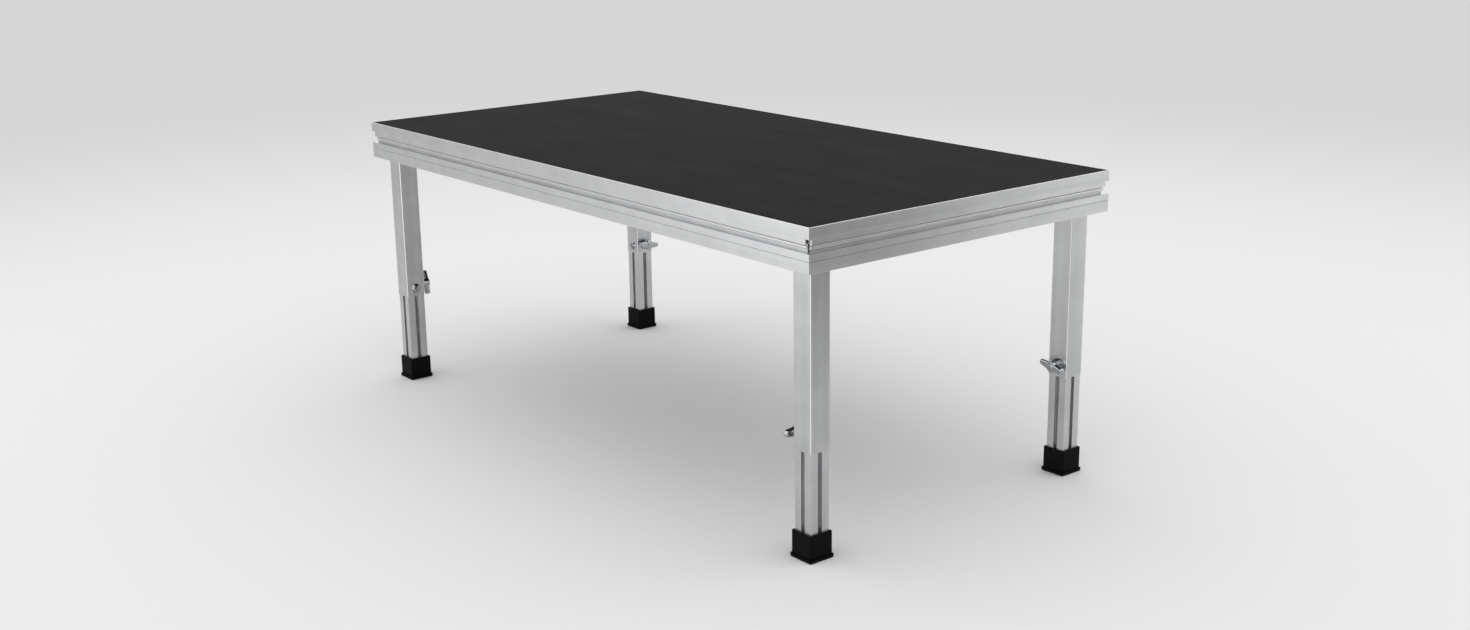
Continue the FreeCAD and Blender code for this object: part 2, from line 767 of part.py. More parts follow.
def make_socket_bolts():
    """Two bolts through each ear into the rail's inner wall."""
    template = hex_bolt("socket_bolt_template", size.socket_bolt, size.socket_bolt_length)
    inner = socket_half - size.socket_wall
    placements = []
    for quarter in QUARTERS:
        centre_x, centre_y = leg_centre(quarter)
        for drop in (size.socket_bolt_high, size.socket_bolt_low):
            for local, away in (((-ear_middle, -inner), (0, 1)), ((inner, ear_middle), (-1, 0))):
                x, y = turned(*local, quarter)
                direction = FreeCAD.Vector(*turned(*away, quarter), 0)
                placements.append(spot(centre_x + x, centre_y + y, panel_underside - drop,
                                       facing(direction)))
    return group("socket_bolts", (template,), placements)


def make_hand_screw(quarter):
    """A star grip moulded on a stud, which presses the leg in its socket."""
    body = new_body("clamp_screw_" + str(quarter + 1))
    face = socket_half + size.boss_length
    neck_start = face + size.seat_gap
    grip_start = neck_start + size.star_neck_length
    stud_start = tube_half + size.seat_gap
    stud = new_sketch(body, "XY_Plane", stud_start)
    circle(stud, ZERO, ZERO, size.hand_screw)
    pad(body, stud, grip_start - stud_start)
    neck = new_sketch(body, "XY_Plane", neck_start)
    circle(neck, ZERO, ZERO, size.star_neck)
    pad(body, neck, size.star_neck_length)
    core = new_sketch(body, "XY_Plane", grip_start)
    circle(core, ZERO, ZERO, size.star_diameter - size.star_lobe)
    pad(body, core, size.star_thickness)
    lobe_radius = (size.star_diameter - size.star_lobe) / 2
    for lobe in range(STAR_LOBES):
        angle = math.radians(90 + 360 / STAR_LOBES * lobe)
        sketch = new_sketch(body, "XY_Plane", grip_start)
        circle(sketch, lobe_radius * math.cos(angle), lobe_radius * math.sin(angle),
               size.star_lobe)
        pad(body, sketch, size.star_thickness)
    place_on_leg(body, quarter, ZERO, ZERO, panel_underside - size.hand_screw_drop,
                 facing(OUTWARD_Y))
    return body


# --- Legs -----------------------------------------------------------------------------------

def make_tube(quarter):
    """The outer tube, with a hole for the guide screw and one for the knob's stud."""
    body = new_body("leg_tube_" + str(quarter + 1))
    section = new_sketch(body, "XY_Plane")
    square(section, tube_half)
    outside = pad(body, section, tube_top - size.tube_bottom)
    rounded = soften(body, outside, size.tube_round, is_upright)
    bore = new_sketch(body, "XY_Plane", BEYOND * -1.0)
    square(bore, tube_inside / 2)
    pocket(body, bore, THROUGH, "against")
    guide = new_sketch(body, "XZ_Plane")
    circle(guide, ZERO, size.guide_height, size.leg_stud + size.bolt_gap * 2)
    pocket(body, guide, THROUGH)
    knob = new_sketch(body, "YZ_Plane")
    circle(knob, ZERO, size.knob_height, size.leg_stud + size.thread_gap * 2)
    pocket(body, knob, THROUGH)
    place_on_leg(body, quarter, ZERO, ZERO, size.tube_bottom)
    return body


def make_tube_plug(quarter):
    """A hollow plastic plug with a flange over the tube's top end."""
    body = new_body("tube_plug_" + str(quarter + 1))
    flange = new_sketch(body, "XY_Plane")
    square(flange, tube_half)
    flange_pad = pad(body, flange, size.plug_flange)
    soften(body, flange_pad, size.tube_round, is_upright)
    skirt = new_sketch(body, "XY_Plane")
    half = tube_inside / 2 - size.plug_gap
    square(skirt, half)
    square(skirt, half - size.plug_flange)
    pad(body, skirt, size.plug_depth, "against")
    place_on_leg(body, quarter, ZERO, ZERO, tube_top)
    return body


def make_slot_nut(label, quarter, diameter, height, direction):
    """A T-shaped nut that lies in a slot of the stem, on its own axis from the leg's middle."""
    body = new_body(label)
    slot_floor = stem_half - size.stem_slot_depth
    neck_top = stem_half - size.nut_inset
    shoulder = stem_half - size.stem_lip - size.nut_gap
    floor = slot_floor + size.nut_gap
    wide = size.stem_slot_wide / 2 - size.nut_gap
    narrow = size.stem_slot / 2 - size.nut_gap
    section = new_sketch(body, "XZ_Plane")
    outline(section, [(-wide, floor), (wide, floor), (wide, shoulder), (narrow, shoulder),
                      (narrow, neck_top), (-narrow, neck_top), (-narrow, shoulder),
                      (-wide, shoulder)])
    pad(body, section, size.nut_length, "both")
    bore = new_sketch(body, "XY_Plane")
    circle(bore, ZERO, ZERO, diameter)
    pocket(body, bore, THROUGH, "against")
    place_on_leg(body, quarter, ZERO, ZERO, size.tube_bottom + height, facing(direction))
    return body


def make_guide_screw(quarter):
    """The dome-headed screw that holds the guide nut."""
    body = new_body("guide_screw_" + str(quarter + 1))
    radius = size.dome_diameter / 2
    height = size.dome_height
    dome_radius = (radius * radius + height * height) / height / 2
    shank = size.leg_stud / 2
    profile = new_sketch(body, "XZ_Plane")
    outline(profile, [(ZERO, tube_half + height, dome_radius), (radius, tube_half),
                      (shank, tube_half), (shank, stud_end), (ZERO, stud_end)])
    revolve(body, profile)
    place_on_leg(body, quarter, ZERO, ZERO, size.tube_bottom + size.guide_height,
                 facing(OUTWARD_Y))
    return body


# How each leg's knob was left, in degrees from upright about its own axis.
KNOB_TURNS = (90.0, 77.0, 84.0, -14.0)

# A wing's tip is a little flatter than a half circle, and its root is inside the hub.
WING_TIP_ROUND = 1.08
WING_ROOT = 0.8


def make_knob(quarter):
    """A die-cast hub and two wings, cast round the stud."""
    body = new_body("wing_knob_" + str(quarter + 1))
    face = tube_half
    base = face + size.seat_gap
    half_base = size.knob_base / 2
    half_waist = size.knob_waist / 2
    boss = size.knob_boss / 2
    stud = size.leg_stud / 2
    profile = new_sketch(body, "XZ_Plane")
    outline(profile, [
        (ZERO, face + size.knob_length),
        (boss, face + size.knob_length),
        (boss, face + size.knob_wing_high),
        (half_waist, face + size.knob_wing_high),
        (half_waist, face + size.knob_wing_low),
        (half_base, base + size.knob_base_height),
        (half_base, base),
        (stud, base),
        (stud, stud_end),
        (ZERO, stud_end),
    ])
    revolve(body, profile)
    wings = new_sketch(body, "XY_Plane", face + size.knob_wing_low)
    tip = size.knob_tip / 2
    reach = size.knob_span / 2 - tip
    outline(wings, [
        (-tip, reach, tip * WING_TIP_ROUND),
        (tip, reach),
        (half_waist * WING_ROOT, ZERO),
        (tip, -reach, tip * WING_TIP_ROUND),
        (-tip, -reach),
        (half_waist * -WING_ROOT, ZERO),
    ])
    pad(body, wings, size.knob_wing_high - size.knob_wing_low)
    turn = FreeCAD.Rotation(FreeCAD.Vector(0, 0, 1), KNOB_TURNS[quarter])
    place_on_leg(body, quarter, ZERO, ZERO, size.tube_bottom + size.knob_height,
                 facing(-OUTWARD_X).multiply(turn))
    return body


def make_stem(quarter):
    """The slotted inner extrusion, from the foot's floor up into the outer tube."""
    body = new_body("stem_" + str(quarter + 1))
    half = stem_half
    mouth = size.stem_slot / 2
    wide = size.stem_slot_wide / 2
    lip = size.stem_lip - half
    floor = size.stem_slot_depth - half
    side = [(-half, -half), (-mouth, -half), (-mouth, lip), (-wide, lip), (-wide, floor),
            (wide, floor), (wide, lip), (mouth, lip), (mouth, -half)]
    points = []
    for turn in QUARTERS:
        points.extend(turned(x, y, turn) for x, y in side)
    section = new_sketch(body, "XY_Plane")
    outline(section, points)
    circle(section, ZERO, ZERO, size.stem_bore)
    near = half - size.stem_skin - size.stem_cell
    far = half - size.stem_skin
    for turn in QUARTERS:
        cell = [(near, near), (far, near), (far, far), (near, far)]
        outline(section, [turned(x, y, turn) for x, y in cell])
    pad(body, section, size.stem_top - size.foot_floor)
    place_on_leg(body, quarter, ZERO, ZERO, size.foot_floor)
    return body


def make_stem_cap(quarter):
    """A plastic cap that closes the slots and slides in the outer tube."""
    body = new_body("stem_cap_" + str(quarter + 1))
    plate = new_sketch(body, "XY_Plane")
    square(plate, stem_half)
    pad(body, plate, size.cap_thickness)
    spigot = new_sketch(body, "XY_Plane")
    circle(spigot, ZERO, ZERO, size.stem_bore - size.cap_gap * 2)
    pad(body, spigot, size.cap_spigot, "against")
    place_on_leg(body, quarter, ZERO, ZERO, size.stem_top)
    return body


def make_foot(quarter):
    """A rubber boot over the stem's end, with a flange round its sole."""
    body = new_body("foot_" + str(quarter + 1))
    flange = new_sketch(body, "XY_Plane")
    square(flange, size.foot_flange / 2)
    sole = pad(body, flange, size.foot_flange_height)
    soften(body, sole, size.foot_round, is_upright)
    block = new_sketch(body, "XY_Plane")
    square(block, size.foot_size / 2)
    boot = pad(body, block, size.foot_height)
    bottom = (size.foot_flange.value - size.foot_size.value) / 4

    def is_boot_corner(edge):
        reach = edge.BoundBox.ZMax - size.foot_flange_height.value
        return is_upright(edge) and reach > bottom

    soften(body, boot, size.foot_round, is_boot_corner)
    well = new_sketch(body, "XY_Plane", size.foot_floor)
    square(well, stem_half + size.foot_gap)
    pocket(body, well, THROUGH, "against")
    place_on_leg(body, quarter, ZERO, ZERO, ZERO)
    return body


# --- Assembly -------------------------------------------------------------------------------

pieces = [make_panel()]
for side, name in enumerate(("rail_front", "rail_right", "rail_back", "rail_left")):
    lengthwise = side in (0, 2)
    along = half_length if lengthwise else half_width
    across = half_width if lengthwise else half_length
    pieces.append(make_rail(name, side, along, across))
for number, step in enumerate(BEARERS, start=1):
    pieces.append(make_bearer("bearer_" + str(number), step))
pieces.append(make_cleats())
pieces.append(make_brackets())
pieces.append(make_bracket_bolts())
pieces.append(make_bracket_nuts())
pieces.append(make_panel_screws())
pieces.append(make_socket_bolts())
for leg in QUARTERS:
    number = str(leg + 1)
    guide_bore = size.leg_stud + size.bolt_gap * 2
    knob_bore = size.leg_stud + size.thread_gap * 2
    pieces.append(make_socket(leg))
    pieces.append(make_hand_screw(leg))
    pieces.append(make_tube(leg))
    pieces.append(make_tube_plug(leg))
    pieces.append(make_slot_nut("guide_nut_" + number, leg, guide_bore, size.guide_height,
                                OUTWARD_Y))
    pieces.append(make_guide_screw(leg))
    pieces.append(make_slot_nut("clamp_nut_" + number, leg, knob_bore, size.knob_height,
                                -OUTWARD_X))
    pieces.append(make_knob(leg))
    pieces.append(make_stem(leg))
    pieces.append(make_stem_cap(leg))
    pieces.append(make_foot(leg))
doc.recompute()

for item in doc.Objects:
    if "Invalid" in item.State or "Error" in item.State:
        raise RuntimeError(item.Label + " failed to recompute: " + str(item.State))
for piece in pieces:
    if piece.Shape.isNull() or not piece.Shape.isValid():
        raise RuntimeError(piece.Label + " has no valid shape")

os.makedirs("parts", exist_ok=True)
for piece in pieces:
    piece.Shape.exportStep(os.path.join("parts", piece.Label + ".step"))
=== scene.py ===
import math

import bmesh
import bpy
from mathutils import Matrix, Vector


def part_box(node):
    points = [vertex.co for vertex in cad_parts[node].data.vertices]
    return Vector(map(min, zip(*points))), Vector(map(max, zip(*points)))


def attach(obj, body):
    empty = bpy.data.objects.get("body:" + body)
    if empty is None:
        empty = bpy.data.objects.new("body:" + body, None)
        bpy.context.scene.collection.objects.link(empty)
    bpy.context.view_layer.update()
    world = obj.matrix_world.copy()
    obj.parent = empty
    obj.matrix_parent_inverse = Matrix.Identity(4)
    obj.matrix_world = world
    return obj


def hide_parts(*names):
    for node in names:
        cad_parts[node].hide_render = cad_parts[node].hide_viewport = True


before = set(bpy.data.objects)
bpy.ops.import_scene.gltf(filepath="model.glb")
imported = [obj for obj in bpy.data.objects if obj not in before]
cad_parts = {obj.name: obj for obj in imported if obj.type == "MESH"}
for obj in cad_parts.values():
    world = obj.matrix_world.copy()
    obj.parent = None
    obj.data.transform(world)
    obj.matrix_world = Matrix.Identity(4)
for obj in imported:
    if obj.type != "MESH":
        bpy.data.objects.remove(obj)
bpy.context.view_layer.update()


# --- Edge rails -----------------------------------------------------------------------------
# Four lengths of one hollow aluminium extrusion, mitred and screwed to cleats at the corners.
# Each has a thin lip round the board, a recess with a slit and a rounded bead where decks
# clip together, and a flush band below with a scribed line.

MM = 0.001
RAIL_HEIGHT = 105 * MM
ROUNDED_DROPS = (0, 27.5 * MM, RAIL_HEIGHT)
RAIL_LIP_EASE = 0.8 * MM
RAIL_EDGE_EASE = 0.25 * MM
RAIL_BEAD_EASE = 3.5 * MM
MITRE_HAIRLINE = 0.08 * MM
SCRIBED_DROP = 77 * MM
SCRIBED_CLEAR = 1 * MM
BEAD_FACE = 9 * MM
BEAD_TOP = 44 * MM
BEAD_BOTTOM = 54 * MM
# Near white, mixed into the aluminium's rounded edges as a painted highlight.
EDGE_HIGHLIGHT_COLOUR = "#F6F6F7"

# Edges between faces that meet at more degrees than this are corners to be eased.
CORNER_ANGLE = 60
# Places closer than LEVEL are level with each other, and corners closer than WELD are one.
LEVEL = 0.01 * MM
WELD = 0.001 * MM

# Inward from the outer face, and down from the top, in millimetres.
RAIL_SKIN = [(0, 0), (2, 0), (2, 18), (30, 18), (30, 105), (0, 105), (0, 77.45), (1.6, 77),
             (0, 76.55), (0, 59.5), (12.5, 59.5), (12.5, 53), (9, 53), (9, 44.5), (13.5, 44.5),
             (13.5, 42.5), (6, 42.5), (6, 27.5), (0, 27.5)]
RAIL_UPPER_HOLLOW = [(9, 21), (27, 21), (27, 59.5), (16.5, 59.5), (16.5, 39.5), (9, 39.5)]
RAIL_LOWER_HOLLOW = [(3, 62.5), (27, 62.5), (27, 102), (3, 102)]

# At the front corner the recess is milled open into the upper hollow, to slide clamps in.
ENTRY_LONG = 19.5 * MM
ENTRY_SHORT = 13 * MM
RAIL_ENTRY_SKIN = [(0, 0), (2, 0), (2, 18), (30, 18), (30, 105), (0, 105), (0, 77.45), (1.6, 77),
                   (0, 76.55), (0, 59.5), (27, 59.5), (27, 21), (9, 21), (9, 27.5), (0, 27.5)]


def linear(colour):
    """A colour written as #RRGGBB, turned to the linear light that a shader takes."""
    channels = []
    for start in (1, 3, 5):
        share = int(colour[start:start + 2], 16) / 255
        channels.append(share / 12.92 if share <= 0.04045 else ((share + 0.055) / 1.055) ** 2.4)
    return (*channels, 1.0)


def add(tree, kind, inputs, **settings):
    """Adds a node with its settings, and sets or links each of its inputs."""
    node = tree.nodes.new(kind)
    for name, value in settings.items():
        setattr(node, name, value)
    for name, value in inputs.items():
        if isinstance(value, bpy.types.NodeSocket):
            tree.links.new(value, node.inputs[name])
        else:
            node.inputs[name].default_value = value
    return node


def new_material(name):
    material = bpy.data.materials.new(name)
    material.use_nodes = True
    material.node_tree.nodes.clear()
    return material, material.node_tree


def extruded_aluminium(name, stretch, colour, worn_colour, roughness, line_depth):
    """Aluminium as it leaves the die: die lines run along it, and the satin face clouds a
    little where it was handled, so its highlights are soft and slightly streaked. Rounded
    edges get a painted highlight: their colour is mixed toward near white, which draws a thin light
    line along each of them."""
    material, tree = new_material(name)
    place = add(tree, "ShaderNodeTexCoord", {}).outputs["Object"]
    along = add(tree, "ShaderNodeMapping", {"Vector": place, "Scale": stretch}).outputs["Vector"]
    # Die lines are about 0.2 mm apart, and are drawn 1.5 to 4 mm apart so that they show.
    lines = add(tree, "ShaderNodeTexNoise",
                {"Vector": along, "Scale": 1.0, "Detail": 4.0, "Roughness": 0.65})
    bands = add(tree, "ShaderNodeTexNoise",
                {"Vector": along, "Scale": 0.12, "Detail": 2.0, "Roughness": 0.5})
    # Handling leaves clouds about 60 mm across.
    clouds = add(tree, "ShaderNodeTexNoise",
                 {"Vector": place, "Scale": 16.0, "Detail": 4.0, "Roughness": 0.55})
    mixed = add(tree, "ShaderNodeMath", {0: bands.outputs["Fac"], 1: clouds.outputs["Fac"]},
                operation="ADD")
    tone = add(tree, "ShaderNodeMapRange",
               {"Value": mixed.outputs["Value"], "From Min": 0.75, "From Max": 1.25})
    shade = add(tree, "ShaderNodeMix", {"Factor": tone.outputs["Result"], "A": linear(worn_colour),
                                        "B": linear(colour)}, data_type="RGBA")
    # The shape is square with its axes, so a normal that leans away from all three is an edge. There
    # the colour is mixed toward near white as a painted highlight line.
    facing = add(tree, "ShaderNodeNewGeometry", {}).outputs["Normal"]
    unsigned = add(tree, "ShaderNodeVectorMath", {0: facing}, operation="ABSOLUTE")
    shares = add(tree, "ShaderNodeSeparateXYZ", {"Vector": unsigned.outputs["Vector"]})
    larger = add(tree, "ShaderNodeMath", {0: shares.outputs["X"], 1: shares.outputs["Y"]},
                 operation="MAXIMUM")
    largest = add(tree, "ShaderNodeMath", {0: larger.outputs["Value"], 1: shares.outputs["Z"]},
                  operation="MAXIMUM")
    wear_and_edge_highlight = add(tree, "ShaderNodeMapRange",
                 {"Value": largest.outputs["Value"], "From Min": 0.98, "From Max": 0.85})
    shade_with_painted_edge_highlight = add(tree, "ShaderNodeMix",
                       {"Factor": wear_and_edge_highlight.outputs["Result"], "A": shade.outputs["Result"],
                        "B": linear(EDGE_HIGHLIGHT_COLOUR)}, data_type="RGBA")
    gloss = add(tree, "ShaderNodeMapRange",
                {"Value": lines.outputs["Fac"], "From Min": 0.3, "From Max": 0.7,
                 "To Min": roughness - 0.05, "To Max": roughness + 0.07})
    relief = add(tree, "ShaderNodeBump", {"Height": lines.outputs["Fac"], "Strength": 0.35,
                                          "Distance": line_depth})
    shader = add(tree, "ShaderNodeBsdfPrincipled",
                 {"Base Color": shade_with_painted_edge_highlight.outputs["Result"], "Metallic": 1.0,
                  "Roughness": gloss.outputs["Result"], "Normal": relief.outputs["Normal"]})
    add(tree, "ShaderNodeOutputMaterial", {"Surface": shader.outputs["BSDF"]})
    return material


def corners_in(geometry):
    return [item for item in geometry if isinstance(item, bmesh.types.BMVert)]


def extruded_along_x(section_loops, low, high):
    """Draws closed loops of a section, in Y and Z, out along X from low to high."""
    mesh = bmesh.new()
    for loop in section_loops:
        corners = [mesh.verts.new((low, y, z)) for y, z in loop]
        for number, corner in enumerate(corners):
            mesh.edges.new((corners[number - 1], corner))
    walls = bmesh.ops.extrude_edge_only(mesh, edges=mesh.edges[:])
    bmesh.ops.translate(mesh, verts=corners_in(walls["geom"]), vec=(high - low, 0, 0))
    return mesh


def ease(mesh, edges, width, segments):
    bmesh.ops.bevel(mesh, geom=edges, offset=width, offset_type="OFFSET", segments=segments,
                    profile=0.5, affect="EDGES", clamp_overlap=True, material=-1)


def corner_edges(mesh, least=CORNER_ANGLE):
    """Edges between two faces that meet at more than that many degrees."""
    return [edge for edge in mesh.edges
            if len(edge.link_faces) == 2 and edge.calc_face_angle(0) > math.radians(least)]


def close_ends(mesh, normal, off_end):
    """Fills the metal between the open rims for which off_end is zero, and leaves the hollows."""
    rim = [edge for edge in mesh.edges if edge.is_boundary
           and all(abs(off_end(corner.co)) < WELD for corner in edge.verts)]
    # The fill merges corners closer than 0.03 mm at life size, so it works on a larger mesh.
    bmesh.ops.scale(mesh, vec=(1 / MM, 1 / MM, 1 / MM), verts=mesh.verts[:])
    bmesh.ops.triangle_fill(mesh, edges=rim, normal=normal, use_beauty=True)
    bmesh.ops.scale(mesh, vec=(MM, MM, MM), verts=mesh.verts[:])


def finish_piece(name, mesh, material, body, nodes, crease=32):
    """Turns a finished shape into a piece that stands for its CAD nodes and rides with them.
    Edges sharper than the crease, in degrees, stay sharp. At 180 none do."""
    bmesh.ops.recalc_face_normals(mesh, faces=mesh.faces[:])
    for face in mesh.faces:
        face.smooth = True
    for edge in corner_edges(mesh, crease):
        edge.smooth = False
    data = bpy.data.meshes.new(name)
    mesh.to_mesh(data)
    mesh.free()
    data.materials.append(material)
    piece = bpy.data.objects.new(name, data)
    bpy.context.scene.collection.objects.link(piece)
    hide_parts(*nodes)
    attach(piece, body)
    if crease < 180:
        shading = piece.modifiers.new("flat_faces_shade_flat", "WEIGHTED_NORMAL")
        shading.mode = "FACE_AREA"
        shading.weight = 100
        shading.keep_sharp = True
    return piece


def rail_length(sections, low, high):
    """A length of the rail with open ends, its bead rounded and its edges eased."""
    loops = []
    for section in sections:
        loops.append([(inward * MM, -drop * MM) for inward, drop in section])
    mesh = extruded_along_x(loops, low, high)
    bead = [edge for edge in mesh.edges if len(edge.link_faces) == 2
            and abs(edge.verts[0].co.y - BEAD_FACE) < LEVEL
            and BEAD_TOP < -edge.verts[0].co.z < BEAD_BOTTOM]
    ease(mesh, bead, RAIL_BEAD_EASE, 8)
    bmesh.ops.remove_doubles(mesh, verts=mesh.verts[:], dist=WELD)
    outer = [edge for edge in corner_edges(mesh) if edge.verts[0].co.y < LEVEL
             and min(abs(edge.verts[0].co.z + drop) for drop in ROUNDED_DROPS) < LEVEL]
    ease(mesh, outer, RAIL_LIP_EASE, 3)
    eased = [edge for edge in corner_edges(mesh)
             if abs(edge.verts[0].co.z + SCRIBED_DROP) > SCRIBED_CLEAR]
    ease(mesh, eased, RAIL_EDGE_EASE, 2)
    return mesh


def rail_piece(node, quarter, material, entry=0, length=0):
    """A mitred rail. Entry is the end, -1 or 1, whose recess is milled open, and for how far."""
    low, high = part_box(node)
    half = max(high.x - low.x, high.y - low.y) / 2
    whole = (RAIL_SKIN, RAIL_UPPER_HOLLOW, RAIL_LOWER_HOLLOW)
    lengths = [(whole, -half, half)]
    cut = (half - length) * entry
    if entry:
        lengths = [(whole, min(cut, -half * entry), max(cut, -half * entry)),
                   ((RAIL_ENTRY_SKIN, RAIL_LOWER_HOLLOW), min(cut, half * entry),
                    max(cut, half * entry))]
    mesh = bmesh.new()
    # The fill leaves gaps in this section with a normal to +X, so each end takes one to -X.
    for sections, start, end in lengths:
        part = rail_length(sections, start, end)
        if entry:
            close_ends(part, (-1, 0, 0), lambda point: point.x - cut)
        for side in (-1, 1):
            everything = part.verts[:] + part.edges[:] + part.faces[:]
            bmesh.ops.bisect_plane(part, geom=everything, clear_outer=True, plane_no=(side, 1, 0),
                                   plane_co=((half - MITRE_HAIRLINE) * side, 0, 0))
            close_ends(part, (-1, -side, 0),
                       lambda point: point.x * side + point.y - half + MITRE_HAIRLINE)
        spare = bpy.data.meshes.new("rail_length")
        part.to_mesh(spare)
        part.free()
        mesh.from_mesh(spare)
        bpy.data.meshes.remove(spare)
    out = (-low.y, high.x, high.y, -low.x)[quarter]
    place = Matrix.Rotation(math.radians(90 * quarter), 4, "Z") @ Matrix.Translation((0, -out, high.z))
    bmesh.ops.transform(mesh, matrix=place, verts=mesh.verts[:])
    return finish_piece(node + "_drawn", mesh, material, "deck", [node])


RAIL_COLOUR = "#CDCECF"
RAIL_WORN = "#C3C4C5"
SATIN = 0.36
DIE_LINE_DEPTH = 0.05 * MM
# How often the die lines change in a metre, across them and along them.
ACROSS = 420.0
ALONG = 1.6
rail_metal_x = extruded_aluminium("satin_extruded_aluminium_long_rails", (ALONG, ACROSS, ACROSS),
                                  RAIL_COLOUR, RAIL_WORN, SATIN, DIE_LINE_DEPTH)
rail_metal_y = extruded_aluminium("satin_extruded_aluminium_short_rails", (ACROSS, ALONG, ACROSS),
                                  RAIL_COLOUR, RAIL_WORN, SATIN, DIE_LINE_DEPTH)

rail_piece("rail_front", 0, rail_metal_x, 1, ENTRY_LONG)
rail_piece("rail_right", 1, rail_metal_y, -1, ENTRY_SHORT)
rail_piece("rail_back", 2, rail_metal_x)
rail_piece("rail_left", 3, rail_metal_y)


# --- Corner cleats and cross bearers ---------------------------------------------------------
# The cleats are sawn aluminium angles driven into the rails' lower hollows. The bearers are
# mill-finish I-sections under the board, held to the rails by angle brackets of the same metal.

BEARER_EASE = 0.3 * MM
BRACKET_EASE = 0.5 * MM
# Triangles that meet at less than the first, in degrees, are one face. Edges over the second
# are corners.
FLAT_ANGLE = 0.5
COPY_CORNER_ANGLE = 50


def dress(node, material):
    """Gives a CAD node that stays its finished material."""
    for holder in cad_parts[node].material_slots:
        holder.material = material


def eased_copy(node, width, segments):
    """A copy of a CAD node with its triangles joined to faces and its edges eased."""
    mesh = bmesh.new()
    mesh.from_mesh(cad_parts[node].data)
    bmesh.ops.remove_doubles(mesh, verts=mesh.verts[:], dist=WELD)
    bmesh.ops.dissolve_limit(mesh, angle_limit=math.radians(FLAT_ANGLE), verts=mesh.verts[:],
                             edges=mesh.edges[:])
    ease(mesh, corner_edges(mesh, COPY_CORNER_ANGLE), width, segments)
    return mesh


mill_metal = extruded_aluminium(
    "mill_finish_extruded_aluminium_bearers", (300.0, 1.2, 300.0), "#B9BABB", "#A6A7A9", 0.42,
    0.08 * MM)
dress("corner_cleats", mill_metal)
for bearer in ("bearer_1", "bearer_2", "bearer_3"):
    finish_piece(bearer + "_drawn", eased_copy(bearer, BEARER_EASE, 1), mill_metal, "deck",
                 [bearer])
finish_piece("bearer_brackets_eased", eased_copy("bearer_brackets", BRACKET_EASE, 2), mill_metal,
             "deck", ["bearer_brackets"])


# --- Bolts, nuts and panel screws ------------------------------------------------------------
# Zinc-plated steel, cold-headed and passivated: a dull grey with a faint blue and yellow bloom
# and a fine crystal grain, not a polished metal.

def zinc_plate(name):
    """Passivated zinc: a soft grey sheen that sparkles very finely and drifts in tint."""
    material, tree = new_material(name)
    place = add(tree, "ShaderNodeTexCoord", {}).outputs["Object"]
    # Zinc crystals are about 0.1 mm across, and are drawn 1 mm across so that they show.
    grain = add(tree, "ShaderNodeTexVoronoi", {"Vector": place, "Scale": 1000.0})
    bloom = add(tree, "ShaderNodeTexNoise", {"Vector": place, "Scale": 120.0, "Detail": 2.0})
    tint = add(tree, "ShaderNodeMix",
               {"Factor": bloom.outputs["Fac"], "A": linear("#A7ABB0"), "B": linear("#B8B5A6")},
               data_type="RGBA")
    gloss = add(tree, "ShaderNodeMapRange",
                {"Value": grain.outputs["Distance"], "To Min": 0.3, "To Max": 0.46})
    relief = add(tree, "ShaderNodeBump", {"Height": grain.outputs["Distance"], "Strength": 0.2,
                                          "Distance": 0.03 * MM})
    shader = add(tree, "ShaderNodeBsdfPrincipled",
                 {"Base Color": tint.outputs["Result"], "Metallic": 1.0,
                  "Roughness": gloss.outputs["Result"], "Normal": relief.outputs["Normal"]})
    add(tree, "ShaderNodeOutputMaterial", {"Surface": shader.outputs["BSDF"]})
    return material


zinc = zinc_plate("zinc_plated_steel")
for fixing, width in (("bracket_bolts", 0.5), ("bracket_nuts", 0.4), ("socket_bolts", 0.7),
                      ("panel_screws", 0.8)):
    finish_piece(fixing + "_chamfered", eased_copy(fixing, width * MM, 2), zinc, "deck",
                 [fixing])


# --- Deck board ------------------------------------------------------------------------------
# One sheet of birch plywood, hot-pressed with phenolic film. The top film carries a fine mesh
# imprint for grip, and the underside is smooth and brown-black.

